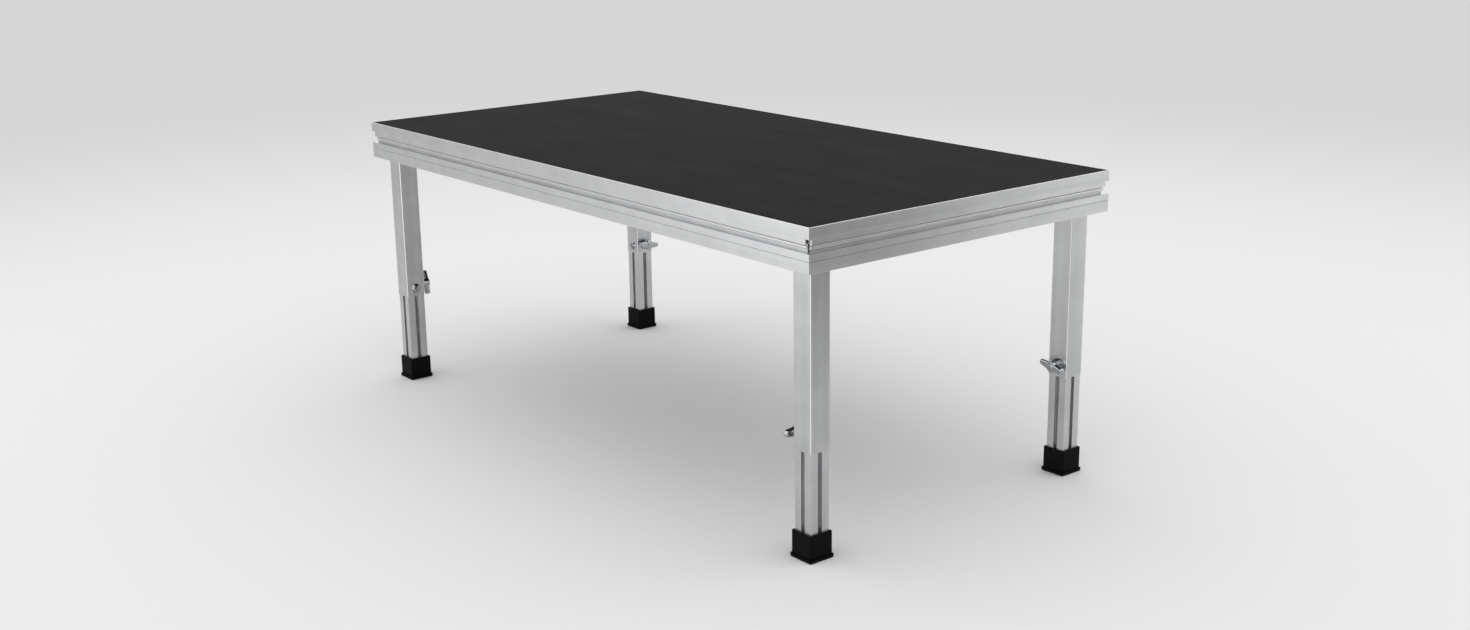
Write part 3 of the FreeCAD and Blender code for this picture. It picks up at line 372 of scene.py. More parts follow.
def film_faced_plywood(name):
    """Phenolic film pressed over a wire mesh gives a matt charcoal top that breaks up light
    into a fine tooth, with slow clouds from the resin and from use."""
    material, tree = new_material(name)
    place = add(tree, "ShaderNodeTexCoord", {}).outputs["Object"]
    facing = add(tree, "ShaderNodeNewGeometry", {}).outputs["Normal"]
    upward = add(tree, "ShaderNodeSeparateXYZ", {"Vector": facing}).outputs["Z"]
    is_top = add(tree, "ShaderNodeMath", {0: upward, 1: 0.5}, operation="GREATER_THAN")
    # The mesh imprint has a pitch of 4.5 mm.
    turned = add(tree, "ShaderNodeMapping", {"Vector": place, "Rotation": (0, 0, math.radians(45)),
                                             "Scale": (222.0, 222.0, 222.0)})
    mesh_print = add(tree, "ShaderNodeTexVoronoi",
                     {"Vector": turned.outputs["Vector"], "Scale": 1.0, "Randomness": 0.12},
                     voronoi_dimensions="2D", distance="CHEBYCHEV")
    # Resin clouds are about 200 mm long and half as wide.
    drawn_out = add(tree, "ShaderNodeMapping", {"Vector": place, "Scale": (3.5, 9.0, 3.5)})
    clouds = add(tree, "ShaderNodeTexNoise", {"Vector": drawn_out.outputs["Vector"], "Scale": 1.0,
                                              "Detail": 5.0, "Roughness": 0.6})
    speckle = add(tree, "ShaderNodeTexNoise", {"Vector": place, "Scale": 260.0, "Detail": 2.0})
    tone = add(tree, "ShaderNodeMapRange", {"Value": clouds.outputs["Fac"], "From Min": 0.3,
                                            "From Max": 0.7})
    film = add(tree, "ShaderNodeMix", {"Factor": tone.outputs["Result"], "A": linear("#1B1B1C"),
                                       "B": linear("#252526")}, data_type="RGBA")
    fleck = add(tree, "ShaderNodeMapRange", {"Value": speckle.outputs["Fac"], "From Min": 0.45,
                                             "From Max": 0.75, "To Max": 0.35})
    top = add(tree, "ShaderNodeMix", {"Factor": fleck.outputs["Result"], "A": film.outputs["Result"],
                                      "B": linear("#343435")}, data_type="RGBA")
    both = add(tree, "ShaderNodeMix", {"Factor": is_top.outputs["Value"], "A": linear("#2B201A"),
                                       "B": top.outputs["Result"]}, data_type="RGBA")
    tooth = add(tree, "ShaderNodeMath", {0: mesh_print.outputs["Distance"],
                                         1: is_top.outputs["Value"]}, operation="MULTIPLY")
    gloss = add(tree, "ShaderNodeMapRange", {"Value": is_top.outputs["Value"], "To Min": 0.38,
                                             "To Max": 0.72})
    relief = add(tree, "ShaderNodeBump", {"Height": tooth.outputs["Value"], "Strength": 0.5,
                                          "Distance": 0.4 * MM})
    shader = add(tree, "ShaderNodeBsdfPrincipled",
                 {"Base Color": both.outputs["Result"], "Roughness": gloss.outputs["Result"],
                  "Specular IOR Level": 0.02, "Normal": relief.outputs["Normal"]})
    add(tree, "ShaderNodeOutputMaterial", {"Surface": shader.outputs["BSDF"]})
    return material


dress("deck_panel", film_faced_plywood("film_faced_birch_plywood"))


# --- Leg sockets -----------------------------------------------------------------------------
# Aluminium castings in the corners under the board, fettled and tumbled, with two ears bolted
# to the rails and a boss for the hand screw.

SOCKET_EASE = 1.0 * MM


def cast_aluminium(name):
    """Sand-cast aluminium has a fine pebbled skin that scatters light evenly."""
    material, tree = new_material(name)
    place = add(tree, "ShaderNodeTexCoord", {}).outputs["Object"]
    # Sand grains of 0.4 mm are drawn 1.5 mm across so that they show.
    skin = add(tree, "ShaderNodeTexNoise", {"Vector": place, "Scale": 650.0, "Detail": 4.0})
    clouds = add(tree, "ShaderNodeTexNoise", {"Vector": place, "Scale": 35.0, "Detail": 3.0})
    tone = add(tree, "ShaderNodeMix", {"Factor": clouds.outputs["Fac"], "A": linear("#9A9B9D"),
                                       "B": linear("#B4B5B6")}, data_type="RGBA")
    relief = add(tree, "ShaderNodeBump", {"Height": skin.outputs["Fac"], "Strength": 0.5,
                                          "Distance": 0.15 * MM})
    shader = add(tree, "ShaderNodeBsdfPrincipled",
                 {"Base Color": tone.outputs["Result"], "Metallic": 1.0, "Roughness": 0.52,
                  "Normal": relief.outputs["Normal"]})
    add(tree, "ShaderNodeOutputMaterial", {"Surface": shader.outputs["BSDF"]})
    return material


cast_metal = cast_aluminium("sand_cast_aluminium")
LEGS = (1, 2, 3, 4)
for leg in LEGS:
    node = "leg_socket_%d" % leg
    finish_piece(node + "_cast", eased_copy(node, SOCKET_EASE, 2), cast_metal, "deck",
                 [node])


# --- Hand screws in the sockets --------------------------------------------------------------
# Star grips of black glass-filled nylon, moulded on their studs. The front of each is dished and
# its lobes are eased, so that it sits well in the hand.

GRIP_RADIUS = 22 * MM
GRIP_WAVE = 2.6 * MM
GRIP_LOBES = 5
GRIP_POINTS = 60
GRIP_THICKNESS = 18 * MM
GRIP_EASE = 3 * MM
GRIP_RIM = 2 * MM
GRIP_SLOPE = 1.5 * MM
GRIP_DISH = 1.2 * MM
NECK_RADIUS = 10 * MM
NECK_LENGTH = 8 * MM
NECK_SIDES = 32
HAND_SCREW_RADIUS = 5 * MM
HAND_SCREW_SIDES = 24


def moulded_plastic(name, colour, roughness):
    """Injection-moulded nylon from a spark-eroded tool: black with an even, fine matt grain."""
    material, tree = new_material(name)
    place = add(tree, "ShaderNodeTexCoord", {}).outputs["Object"]
    # The tool's grain of 0.1 mm is drawn 0.8 mm across so that it shows.
    grain = add(tree, "ShaderNodeTexNoise", {"Vector": place, "Scale": 1200.0, "Detail": 3.0})
    wear_and_edge_highlight = add(tree, "ShaderNodeTexNoise", {"Vector": place, "Scale": 60.0, "Detail": 2.0})
    gloss = add(tree, "ShaderNodeMapRange", {"Value": wear_and_edge_highlight.outputs["Fac"],
                                             "To Min": roughness - 0.1, "To Max": roughness + 0.1})
    relief = add(tree, "ShaderNodeBump", {"Height": grain.outputs["Fac"], "Strength": 0.4,
                                          "Distance": 0.06 * MM})
    shader = add(tree, "ShaderNodeBsdfPrincipled",
                 {"Base Color": linear(colour), "Roughness": gloss.outputs["Result"],
                  "Normal": relief.outputs["Normal"]})
    add(tree, "ShaderNodeOutputMaterial", {"Surface": shader.outputs["BSDF"]})
    return material


def leg_place(leg):
    """Leg 1's own frame, turned and moved to that leg. X and Y point to leg 1's outer sides."""
    low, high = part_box("leg_tube_%d" % leg)
    centre = (low + high) / 2
    turn = Matrix.Rotation(math.radians(90 * (leg - 1)), 4, "Z")
    return Matrix.Translation((centre.x, centre.y, 0)) @ turn


def reach(node, leg, axis):
    """How far off the leg's middle a node starts and ends, along an axis of the leg's frame."""
    to_leg = leg_place(leg).inverted()
    return sorted(abs((to_leg @ corner)[axis]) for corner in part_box(node))


def middle_height(node):
    low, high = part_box(node)
    return Matrix.Translation((0, 0, (low.z + high.z) / 2))


def axis_to(direction):
    """Turns +Z to a level direction, with +Y upright."""
    toward = Vector(direction)
    upright = Vector((0, 0, 1))
    return Matrix((upright.cross(toward), upright, toward)).transposed().to_4x4()


def rod(mesh, radius, low, high, segments):
    middle = Matrix.Translation((0, 0, (low + high) / 2))
    bmesh.ops.create_cone(mesh, cap_ends=True, segments=segments, radius1=radius, radius2=radius,
                          depth=high - low, matrix=middle)


def star_grip(start):
    """The grip's body from start outwards, with a dished front and eased lobes."""
    mesh = bmesh.new()
    bmesh.ops.create_circle(mesh, cap_ends=True, segments=GRIP_POINTS, radius=1.0)
    for corner in mesh.verts:
        angle = math.atan2(corner.co.y, corner.co.x) - math.radians(90)
        corner.co *= GRIP_RADIUS - GRIP_WAVE * (1 - math.cos(GRIP_LOBES * angle))
        corner.co.z = start
    front = bmesh.ops.extrude_face_region(mesh, geom=mesh.faces[:])
    bmesh.ops.translate(mesh, verts=corners_in(front["geom"]), vec=(0, 0, GRIP_THICKNESS))
    ease(mesh, corner_edges(mesh), GRIP_EASE, 4)
    face = max(mesh.faces, key=lambda item: item.calc_center_median().z)
    bmesh.ops.inset_region(mesh, faces=[face], thickness=GRIP_RIM, depth=0)
    bmesh.ops.inset_region(mesh, faces=[face], thickness=GRIP_SLOPE, depth=-GRIP_DISH)
    return mesh


nylon = moulded_plastic("moulded_black_nylon", "#17181A", 0.42)
for leg in LEGS:
    node = "clamp_screw_%d" % leg
    inner, outer = reach(node, leg, 1)
    grip_back = outer - GRIP_THICKNESS
    mesh = star_grip(grip_back)
    rod(mesh, NECK_RADIUS, grip_back - NECK_LENGTH, grip_back, NECK_SIDES)
    rod(mesh, HAND_SCREW_RADIUS, inner, grip_back, HAND_SCREW_SIDES)
    place = leg_place(leg) @ middle_height(node) @ axis_to((0, 1, 0))
    bmesh.ops.transform(mesh, matrix=place, verts=mesh.verts[:])
    finish_piece(node + "_star", mesh, nylon, "hand_screw_%d" % leg, [node])


# --- Outer leg tubes -------------------------------------------------------------------------
# Square thin-walled aluminium tube, sawn to length and deburred. The sockets clamp it, and a
# moulded plug closes its top.

TUBE_WALL = 1.6 * MM
TUBE_ROUND = 2.5 * MM
TUBE_RIM_EASE = 0.3 * MM
X_TO_UPRIGHT = Matrix(((0, 0, 1), (0, 1, 0), (1, 0, 0))).transposed().to_4x4()

tube_metal = extruded_aluminium("satin_extruded_aluminium_leg_tubes", (ACROSS, ACROSS, ALONG),
                                "#C4C5C6", "#B8B9BA", SATIN, DIE_LINE_DEPTH)
for leg in LEGS:
    node = "leg_tube_%d" % leg
    low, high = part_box(node)
    half = (high.x - low.x) / 2
    square = [(-half, -half), (half, -half), (half, half), (-half, half)]
    mesh = extruded_along_x([square], low.z, high.z)
    ease(mesh, corner_edges(mesh), TUBE_ROUND, 5)
    bmesh.ops.recalc_face_normals(mesh, faces=mesh.faces[:])
    bmesh.ops.solidify(mesh, geom=mesh.faces[:], thickness=TUBE_WALL)
    rims = [edge for edge in corner_edges(mesh)
            if abs(edge.verts[0].co.x - edge.verts[1].co.x) < LEVEL]
    ease(mesh, rims, TUBE_RIM_EASE, 1)
    bmesh.ops.transform(mesh, matrix=leg_place(leg) @ X_TO_UPRIGHT, verts=mesh.verts[:])
    finish_piece(node + "_sawn", mesh, tube_metal, "leg_%d" % leg, [node])
    dress("tube_plug_%d" % leg, nylon)


# --- Slot nuts, and the dome screws that guide the stems -------------------------------------
# The slot nuts are zinc-plated steel. The dome screw is turned steel, polished and
# nickel-plated, a little darker than the knobs' chrome.

DOME_RADIUS = 15 * MM
DOME_HEIGHT = 7.5 * MM
DOME_STEPS = 10
DOME_SIDES = 40
LEG_STUD_RADIUS = 4 * MM


def bright_chrome(name, dull, clean, roughness):
    """Polished, plated metal: it mirrors the room, a little softened by wipe marks."""
    material, tree = new_material(name)
    place = add(tree, "ShaderNodeTexCoord", {}).outputs["Object"]
    # Wipe marks are about 8 mm across.
    marks = add(tree, "ShaderNodeTexNoise", {"Vector": place, "Scale": 120.0, "Detail": 3.0})
    gloss = add(tree, "ShaderNodeMapRange", {"Value": marks.outputs["Fac"], "To Min": roughness,
                                             "To Max": roughness + 0.1})
    tone = add(tree, "ShaderNodeMix", {"Factor": marks.outputs["Fac"], "A": linear(dull),
                                       "B": linear(clean)}, data_type="RGBA")
    # Polishing leaves a faint orange peel about 2 mm across.
    peel = add(tree, "ShaderNodeTexNoise", {"Vector": place, "Scale": 450.0, "Detail": 1.0})
    relief = add(tree, "ShaderNodeBump", {"Height": peel.outputs["Fac"], "Strength": 0.15,
                                          "Distance": 0.05 * MM})
    shader = add(tree, "ShaderNodeBsdfPrincipled",
                 {"Base Color": tone.outputs["Result"], "Metallic": 1.0,
                  "Roughness": gloss.outputs["Result"], "Normal": relief.outputs["Normal"]})
    add(tree, "ShaderNodeOutputMaterial", {"Surface": shader.outputs["BSDF"]})
    return material


chrome = bright_chrome("bright_chrome_plate", "#A2A4A6", "#B4B6B8", 0.06)
nickel = bright_chrome("dark_nickel_plate", "#8E9093", "#A2A4A7", 0.12)
for leg in LEGS:
    for nut in ("guide_nut_%d" % leg, "clamp_nut_%d" % leg):
        dress(nut, zinc)
    node = "guide_screw_%d" % leg
    inner, outer = reach(node, leg, 1)
    base = outer - DOME_HEIGHT
    # The dome is the cap of a sphere, drawn from its crown to its brim and spun.
    sphere = (DOME_RADIUS ** 2 + DOME_HEIGHT ** 2) / DOME_HEIGHT / 2
    sweep = math.asin(DOME_RADIUS / sphere)
    mesh = bmesh.new()
    crown = mesh.verts.new((0, 0, outer))
    bmesh.ops.spin(mesh, geom=[crown], cent=(0, 0, outer - sphere), axis=(0, 1, 0), angle=sweep,
                   steps=DOME_STEPS)
    brim = max(mesh.verts, key=lambda corner: corner.co.x)
    hem = mesh.verts.new((LEG_STUD_RADIUS, 0, base))
    tail = mesh.verts.new((LEG_STUD_RADIUS, 0, inner))
    end = mesh.verts.new((0, 0, inner))
    for pair in ((brim, hem), (hem, tail), (tail, end)):
        mesh.edges.new(pair)
    bmesh.ops.spin(mesh, geom=mesh.verts[:] + mesh.edges[:], cent=(0, 0, 0), axis=(0, 0, 1),
                   angle=math.tau, steps=DOME_SIDES, use_merge=True)
    bmesh.ops.remove_doubles(mesh, verts=mesh.verts[:], dist=WELD)
    place = leg_place(leg) @ middle_height(node) @ axis_to((0, 1, 0))
    bmesh.ops.transform(mesh, matrix=place, verts=mesh.verts[:])
    finish_piece(node + "_dome", mesh, nickel, "leg_%d" % leg, [node])


# --- Wing knobs ------------------------------------------------------------------------------
# Die-cast zinc, a stout hub with a bar of two rounded wings across its front, polished and
# chromed, cast round a steel stud. The casting's fillets run the bar into the hub.

# Degrees from upright, each knob as it was last clamped.
KNOB_TURNS = {1: 90.0, 2: 77.0, 3: 84.0, 4: -14.0}

# Radius, and height off the tube's face, in millimetres.
HUB_PROFILE = [(0, 0.3), (17.2, 0.3), (18, 1.1), (18, 4.0), (17.3, 7.5), (16.2, 14), (15.6, 25),
               (14.6, 27.8), (12.6, 29), (7, 29), (6.7, 30.1), (5.8, 30.5), (0, 30.5)]
HUB_STEPS = 64
WING_LOW = 14 * MM
WING_HIGH = 29 * MM
WING_SPAN = 76 * MM
WING_TIP_WIDTH = 15 * MM
WING_ROOT_WIDTH = 25 * MM
WING_TIP_ROUND = 7 * MM
WING_EDGE_ROUND = 4.5 * MM
STUD_ROOT = 2 * MM
STUD_SIDES = 32
CASTING_STEP = 0.7 * MM


def wing_bar():
    """The bar along Y, widest at the hub, with round tips and soft edges."""
    mesh = bmesh.new()
    size = Matrix.Diagonal((WING_TIP_WIDTH, WING_SPAN, WING_HIGH - WING_LOW, 1))
    middle = Matrix.Translation((0, 0, (WING_HIGH + WING_LOW) / 2))
    bmesh.ops.create_cube(mesh, size=1.0, matrix=middle @ size)
    everything = mesh.verts[:] + mesh.edges[:] + mesh.faces[:]
    root = bmesh.ops.bisect_plane(mesh, geom=everything, plane_co=(0, 0, 0), plane_no=(0, 1, 0))
    for item in root["geom_cut"]:
        if isinstance(item, bmesh.types.BMVert):
            item.co.x = math.copysign(WING_ROOT_WIDTH / 2, item.co.x)
    mesh.normal_update()
    upright = [edge for edge in corner_edges(mesh)
               if abs(edge.verts[0].co.z - edge.verts[1].co.z) > 1 * MM]
    ease(mesh, upright, WING_TIP_ROUND, 6)
    ease(mesh, corner_edges(mesh), WING_EDGE_ROUND, 5)
    return mesh


def wing_knob(stud_end):
    mesh = wing_bar()
    bar = bpy.data.meshes.new("bar")
    mesh.to_mesh(bar)
    mesh.clear()
    corners = [mesh.verts.new((radius * MM, 0, height * MM)) for radius, height in HUB_PROFILE]
    for number in range(1, len(corners)):
        mesh.edges.new((corners[number - 1], corners[number]))
    bmesh.ops.spin(mesh, geom=mesh.verts[:] + mesh.edges[:], cent=(0, 0, 0), axis=(0, 0, 1),
                   angle=math.tau, steps=HUB_STEPS, use_merge=True)
    bmesh.ops.remove_doubles(mesh, verts=mesh.verts[:], dist=WELD)
    rod(mesh, LEG_STUD_RADIUS, stud_end, STUD_ROOT, STUD_SIDES)
    mesh.from_mesh(bar)
    bpy.data.meshes.remove(bar)
    return mesh


for leg in LEGS:
    node = "wing_knob_%d" % leg
    stud_end = reach(node, leg, 0)[0]
    tube_low, tube_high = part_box("leg_tube_%d" % leg)
    face = (tube_high.x - tube_low.x) / 2
    mesh = wing_knob(stud_end - face)
    place = (leg_place(leg) @ middle_height(node) @ axis_to((-1, 0, 0))
             @ Matrix.Translation((0, 0, face))
             @ Matrix.Rotation(math.radians(KNOB_TURNS[leg]), 4, "Z"))
    bmesh.ops.transform(mesh, matrix=place, verts=mesh.verts[:])
    knob = finish_piece(node + "_cast", mesh, chrome, "knob_%d" % leg, [node], 180)
    joined = knob.modifiers.new("one_casting", "REMESH")
    joined.mode = "VOXEL"
    joined.voxel_size = CASTING_STEP
    joined.use_smooth_shade = True
    fillets = knob.modifiers.new("casting_fillets", "SMOOTH")
    fillets.factor = 0.5
    fillets.iterations = 10


# --- Stems -----------------------------------------------------------------------------------
# A square aluminium extrusion with a T-slot in each face, a bore and four corner hollows. It
# slides in the outer tube, and its top wears a moulded cap.

STEM_EASE = 0.5 * MM
# Half widths of the slot's mouth, of its widest reach behind the tapered lips, and of its floor.
SLOT_HALF = 6 * MM
SLOT_TAPER_HALF = 9 * MM
SLOT_FLOOR_HALF = 11 * MM
# Depths of the mouth's straight edge, of the lips' back and of the floor.
SLOT_EDGE_DEPTH = 2 * MM
SLOT_LIP_DEPTH = 5 * MM
SLOT_DEPTH = 13 * MM
# The corner hollows, in from the stem's faces.
HOLLOW_START = 3 * MM
HOLLOW_END = 12 * MM
BORE_RADIUS = 5 * MM
BORE_SIDES = 24

stem_metal = extruded_aluminium("satin_extruded_aluminium_stems", (ACROSS, ACROSS, ALONG),
                                "#C9CACB", "#BCBDBE", SATIN, DIE_LINE_DEPTH)


def quarter_turns(points):
    """The same points on each of the four sides of a square section."""
    turned = []
    for _ in range(4):
        turned.extend(points)
        points = [(-y, x) for x, y in points]
    return turned


for leg in LEGS:
    node = "stem_%d" % leg
    low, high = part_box(node)
    half = (high.x - low.x) / 2
    edge = -half + SLOT_EDGE_DEPTH
    lip = -half + SLOT_LIP_DEPTH
    floor = -half + SLOT_DEPTH
    slotted = quarter_turns([(-half, -half), (-SLOT_HALF, -half), (-SLOT_HALF, edge),
                             (-SLOT_TAPER_HALF, lip), (-SLOT_FLOOR_HALF, lip),
                             (-SLOT_FLOOR_HALF, floor), (SLOT_FLOOR_HALF, floor),
                             (SLOT_FLOOR_HALF, lip), (SLOT_TAPER_HALF, lip), (SLOT_HALF, edge),
                             (SLOT_HALF, -half)])
    loops = [slotted]
    near = half - HOLLOW_END
    far = half - HOLLOW_START
    hollow = [(near, near), (far, near), (far, far), (near, far)]
    for _ in range(4):
        loops.append(hollow)
        hollow = [(-y, x) for x, y in hollow]
    bore = []
    for step in range(BORE_SIDES):
        angle = math.tau * step / BORE_SIDES
        bore.append((BORE_RADIUS * math.cos(angle), BORE_RADIUS * math.sin(angle)))
    loops.append(bore)
    mesh = extruded_along_x(loops, low.z, high.z)
    outside = half - LEVEL
    corners = [edge for edge in corner_edges(mesh)
               if abs(edge.verts[0].co.y) > outside or abs(edge.verts[0].co.z) > outside]
    ease(mesh, corners, STEM_EASE, 2)
    for end in (low.z, high.z):
        close_ends(mesh, (1, 0, 0), lambda point: point.x - end)
    bmesh.ops.transform(mesh, matrix=leg_place(leg) @ X_TO_UPRIGHT, verts=mesh.verts[:])
    finish_piece(node + "_slotted", mesh, stem_metal, "inner_leg_%d" % leg, [node])
    dress("stem_cap_%d" % leg, nylon)


# --- Feet ------------------------------------------------------------------------------------
# Black rubber boots, compression-moulded, pushed over the stems. A flange spreads the load and
# the sole has a block tread.

FOOT_HALF = 33 * MM
FLANGE_HEIGHT = 9 * MM
FOOT_ROUND = 5 * MM
FOOT_EDGE = 2.8 * MM
POCKET_GAP = 0.2 * MM
TREAD_BORDER = 7 * MM
TREAD_DEPTH = 2 * MM
TREAD_BLOCKS = 5
TREAD_GROOVE = 1.2 * MM


def moulded_rubber(name):
    """Compression-moulded rubber: near black and matt, with a soft sheen at a glance and a
    little floor dust along its foot."""
    material, tree = new_material(name)
    place = add(tree, "ShaderNodeTexCoord", {}).outputs["Object"]
    # The mould's blasted grain of 0.2 mm is drawn 1 mm across so that it shows.
    grain = add(tree, "ShaderNodeTexNoise", {"Vector": place, "Scale": 900.0, "Detail": 3.0})
    clouds = add(tree, "ShaderNodeTexNoise", {"Vector": place, "Scale": 45.0, "Detail": 4.0})
    height = add(tree, "ShaderNodeSeparateXYZ", {"Vector": place}).outputs["Z"]
    low_down = add(tree, "ShaderNodeMapRange", {"Value": height, "From Min": 0.0,
                                                "From Max": 14 * MM, "To Min": 0.8, "To Max": 0.0})
    dust = add(tree, "ShaderNodeMath", {0: low_down.outputs["Result"], 1: clouds.outputs["Fac"]},
               operation="MULTIPLY")
    tone = add(tree, "ShaderNodeMix", {"Factor": dust.outputs["Value"], "A": linear("#050506"),
                                       "B": linear("#131312")}, data_type="RGBA")
    gloss = add(tree, "ShaderNodeMapRange", {"Value": clouds.outputs["Fac"], "To Min": 0.5,
                                             "To Max": 0.72})
    relief = add(tree, "ShaderNodeBump", {"Height": grain.outputs["Fac"], "Strength": 0.4,
                                          "Distance": 0.08 * MM})
    shader = add(tree, "ShaderNodeBsdfPrincipled",
                 {"Base Color": tone.outputs["Result"], "Roughness": gloss.outputs["Result"],
                  "IOR": 1.52, "Specular IOR Level": 0.08, "Normal": relief.outputs["Normal"]})
    add(tree, "ShaderNodeOutputMaterial", {"Surface": shader.outputs["BSDF"]})
    return material


def draw_faces(mesh, faces, rise):
    """Draws faces up or down together, and gives the new faces."""
    result = bmesh.ops.extrude_face_region(mesh, geom=faces)
    bmesh.ops.delete(mesh, geom=[face for face in faces if face.is_valid], context="FACES_ONLY")
    bmesh.ops.translate(mesh, verts=corners_in(result["geom"]), vec=(0, 0, rise))
    return [item for item in result["geom"] if isinstance(item, bmesh.types.BMFace)]


rubber = moulded_rubber("compression_moulded_rubber")
for leg in LEGS:
    node = "foot_%d" % leg
    low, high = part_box(node)
    flange = (high.x - low.x) / 2
    stem_low, stem_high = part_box("stem_%d" % leg)
    pocket = (stem_high.x - stem_low.x) / 2 + POCKET_GAP
    mesh = bmesh.new()
    bmesh.ops.create_cube(mesh, size=1.0, matrix=Matrix.Translation((0, 0, FLANGE_HEIGHT / 2))
                          @ Matrix.Diagonal((flange * 2, flange * 2, FLANGE_HEIGHT, 1)))
    mesh.normal_update()
    top = [face for face in mesh.faces if face.normal.z > 0.9]
    bmesh.ops.inset_region(mesh, faces=top, thickness=flange - FOOT_HALF, depth=0)
    top = draw_faces(mesh, top, high.z - FLANGE_HEIGHT)
    bmesh.ops.inset_region(mesh, faces=top, thickness=FOOT_HALF - pocket, depth=0)
    draw_faces(mesh, top, stem_low.z - high.z)
    mesh.normal_update()
    uprights = [edge for edge in corner_edges(mesh)
                if abs(edge.verts[0].co.x - edge.verts[1].co.x) < LEVEL
                and abs(edge.verts[0].co.y - edge.verts[1].co.y) < LEVEL
                and abs(edge.verts[0].co.x) > pocket + 0.5 * MM]
    ease(mesh, uprights, FOOT_ROUND, 5)
    rims = []
    for edge in corner_edges(mesh):
        first, second = (corner.co.z for corner in edge.verts)
        on_sole = first < 1 * MM and second < 1 * MM
        above_pocket = abs(first - second) < LEVEL and first > stem_low.z + 1 * MM
        if on_sole or above_pocket:
            rims.append(edge)
    ease(mesh, rims, FOOT_EDGE, 3)
    mesh.normal_update()
    sole = [max((face for face in mesh.faces if face.normal.z < -0.99),
                key=lambda item: item.calc_area())]
    bmesh.ops.inset_region(mesh, faces=sole, thickness=TREAD_BORDER, depth=0)
    field = draw_faces(mesh, sole, TREAD_DEPTH)
    # The field is cut into a grid, and each of its squares is drawn down as a block.
    field_half = flange - TREAD_BORDER
    for step in range(1, TREAD_BLOCKS):
        cut = field_half * (step / TREAD_BLOCKS * 2 - 1)
        for normal in ((1, 0, 0), (0, 1, 0)):
            touched = dict.fromkeys(item for face in field
                                    for item in (face, *face.edges, *face.verts))
            bmesh.ops.bisect_plane(mesh, geom=list(touched), plane_co=(cut, cut, 0), plane_no=normal)
            field = [face for face in mesh.faces if face.normal.z < -0.99
                     and abs(face.calc_center_median().z - TREAD_DEPTH) < LEVEL]
    bmesh.ops.inset_individual(mesh, faces=field, thickness=TREAD_GROOVE / 2, depth=0)
    draw_faces(mesh, field, -TREAD_DEPTH)
    bmesh.ops.transform(mesh, matrix=leg_place(leg), verts=mesh.verts[:])
    finish_piece(node + "_moulded", mesh, rubber, "inner_leg_%d" % leg, [node])


# --- Floor, light and camera -----------------------------------------------------------------
# A pale matt floor in a pale room that lights from all round, with a weak softbox at each side.
# What the metal mirrors is a room with a bright far side and ceiling, a black flag and three
# white cards, none of which lights anything.

def studio_floor(name):
    """Matt paper: pale and even, with no sheen that would mirror the cards."""
    material, tree = new_material(name)
    place = add(tree, "ShaderNodeTexCoord", {}).outputs["Object"]
    # Painted light falloff: the paper's colour greys a little from 2 m to 7 m away from the object.
    away = add(tree, "ShaderNodeVectorMath", {0: place}, operation="LENGTH")
    far = add(tree, "ShaderNodeMapRange", {"Value": away.outputs["Value"], "From Min": 1.8,
                                           "From Max": 7.0}, interpolation_type="SMOOTHSTEP")
    tone = add(tree, "ShaderNodeMix", {"Factor": far.outputs["Result"], "A": linear("#F8F8F8"),
                                       "B": linear("#E0E0E0")}, data_type="RGBA")
    shader = add(tree, "ShaderNodeBsdfPrincipled",
                 {"Base Color": tone.outputs["Result"], "Roughness": 0.9,
                  "Specular IOR Level": 0.0})
    add(tree, "ShaderNodeOutputMaterial", {"Surface": shader.outputs["BSDF"]})
    return material


def stand(name, mesh, material):
    """Adds a piece of the studio, which isn't part of the object."""
    data = bpy.data.meshes.new(name)
    mesh.to_mesh(data)
    mesh.free()
    data.materials.append(material)
    item = bpy.data.objects.new(name, data)
    bpy.context.scene.collection.objects.link(item)
    return item


floor_mesh = bmesh.new()
bmesh.ops.create_grid(floor_mesh, x_segments=1, y_segments=1, size=40.0)
stand("studio_floor", floor_mesh, studio_floor("matt_studio_floor"))


def studio_card(name, place, target, width, height, brightness):
    """A card of that brightness, where 1 is white. It is seen only as it is mirrored."""
    material, tree = new_material(name)
    glow = add(tree, "ShaderNodeEmission", {"Color": linear("#FFFFFF"), "Strength": brightness})
    add(tree, "ShaderNodeOutputMaterial", {"Surface": glow.outputs["Emission"]})
    mesh = bmesh.new()
    turn = (Vector(target) - Vector(place)).to_track_quat("Z", "Y").to_matrix().to_4x4()
    bmesh.ops.create_grid(mesh, x_segments=1, y_segments=1, size=0.5, matrix=Matrix.Translation(place)
                          @ turn @ Matrix.Diagonal((width, height, 1, 1)))
    card = stand(name, mesh, material)
    card.visible_camera = False
    card.visible_diffuse = False
    card.visible_shadow = False
    card.visible_transmission = False


studio_card("black_flag", (2.65, 0.35, 0.8), (1.0, -0.5, 0.8), 1.9, 1.6, 0.2)
studio_card("left_white_card", (-0.4, -2.7, 0.85), (1.0, -0.5, 0.6), 1.8, 1.7, 1.75)
studio_card("right_white_card", (2.1, 2.1, 0.8), (1.0, 0.4, 0.7), 1.5, 1.6, 1.1)
studio_card("near_white_card", (3.0, -4.2, 1.2), (0.0, 0.0, 0.6), 1.6, 2.2, 4.5)

world = bpy.data.worlds.new("studio_room")
world.use_nodes = True
world.node_tree.nodes.clear()
tree = world.node_tree
direction = add(tree, "ShaderNodeTexCoord", {}).outputs["Generated"]
heading = add(tree, "ShaderNodeSeparateXYZ", {"Vector": direction})
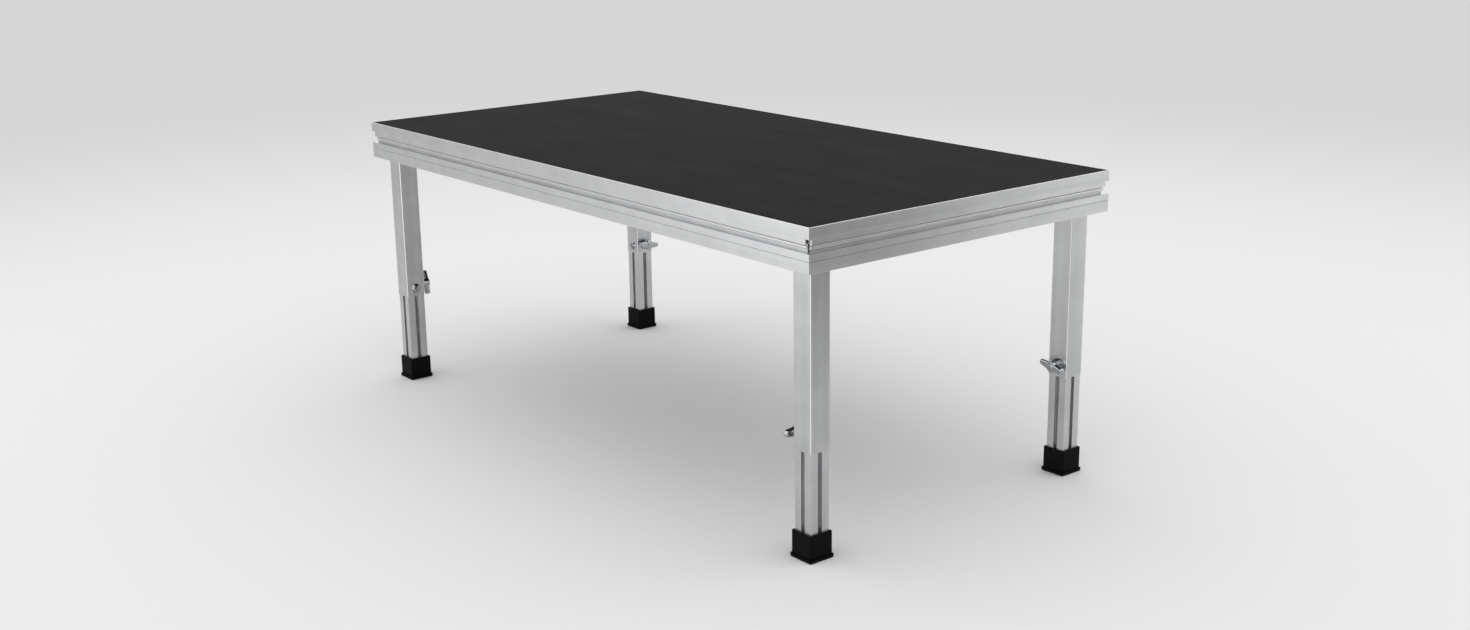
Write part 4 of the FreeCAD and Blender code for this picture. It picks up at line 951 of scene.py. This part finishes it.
# The room's far side is bright, its near side and the walls beside it are dark.
far_side = add(tree, "ShaderNodeVectorMath", {0: direction, 1: (-0.78, 0.63, 0.0)},
               operation="DOT_PRODUCT")
wall = add(tree, "ShaderNodeMapRange", {"Value": far_side.outputs["Value"], "From Min": 0.2,
                                        "From Max": 0.75, "To Min": 0.06, "To Max": 1.4})
ceiling = add(tree, "ShaderNodeMapRange", {"Value": heading.outputs["Z"], "From Min": 0.15,
                                           "From Max": 0.6, "To Min": 0.0, "To Max": 1.4})
mirrored = add(tree, "ShaderNodeMath", {0: wall.outputs["Result"], 1: ceiling.outputs["Result"]},
               operation="MAXIMUM")
rays = add(tree, "ShaderNodeLightPath", {})
ROOM_LIGHT = 0.9
# The backdrop is seen as pale as the floor's far edge, so that no horizon shows.
BACKDROP = 0.665
seen = add(tree, "ShaderNodeMix", {"Factor": rays.outputs["Is Camera Ray"], "A": ROOM_LIGHT,
                                   "B": BACKDROP}, data_type="FLOAT")
brightness = add(tree, "ShaderNodeMix", {"Factor": rays.outputs["Is Glossy Ray"],
                                         "A": seen.outputs["Result"],
                                         "B": mirrored.outputs["Value"]}, data_type="FLOAT")
room = add(tree, "ShaderNodeBackground", {"Color": linear("#FFFFFF"),
                                          "Strength": brightness.outputs["Result"]})
add(tree, "ShaderNodeOutputWorld", {"Surface": room.outputs["Background"]})
bpy.context.scene.world = world


def soft_light(name, place, target, width, height, brightness):
    """A softbox whose face has that brightness, where 1 is white."""
    data = bpy.data.lights.new(name, "AREA")
    data.shape = "RECTANGLE"
    data.size = width
    data.size_y = height
    data.energy = brightness * math.pi * width * height
    light = bpy.data.objects.new(name, data)
    light.location = place
    light.rotation_euler = (Vector(target) - Vector(place)).to_track_quat("-Z", "Y").to_euler()
    bpy.context.scene.collection.objects.link(light)


soft_light("left_front_softbox", (-2.6, -4.2, 1.5), (0.0, 0.0, 0.3), 3.0, 2.4, 0.35)
soft_light("right_back_softbox", (3.2, 4.6, 1.5), (0.0, 0.0, 0.3), 3.0, 2.4, 0.35)

# Turned left of +Y, dipped below level and rolled, in radians.
CAMERA_TURN = 0.894
CAMERA_DIP = 0.2675
CAMERA_ROLL = -0.013

camera_data = bpy.data.cameras.new("camera")
camera_data.sensor_width = 36.0
camera_data.lens = 42.13
camera_data.clip_end = 200.0
camera = bpy.data.objects.new("camera", camera_data)
camera.location = (3.717, -2.890, 1.599)
camera.rotation_mode = "QUATERNION"
camera.rotation_quaternion = (Matrix.Rotation(CAMERA_TURN, 4, "Z")
                              @ Matrix.Rotation(math.pi / 2 - CAMERA_DIP, 4, "X")
                              @ Matrix.Rotation(CAMERA_ROLL, 4, "Z")).to_quaternion()
bpy.context.scene.collection.objects.link(camera)
bpy.context.scene.camera = camera
bpy.context.scene.view_settings.view_transform = "Standard"
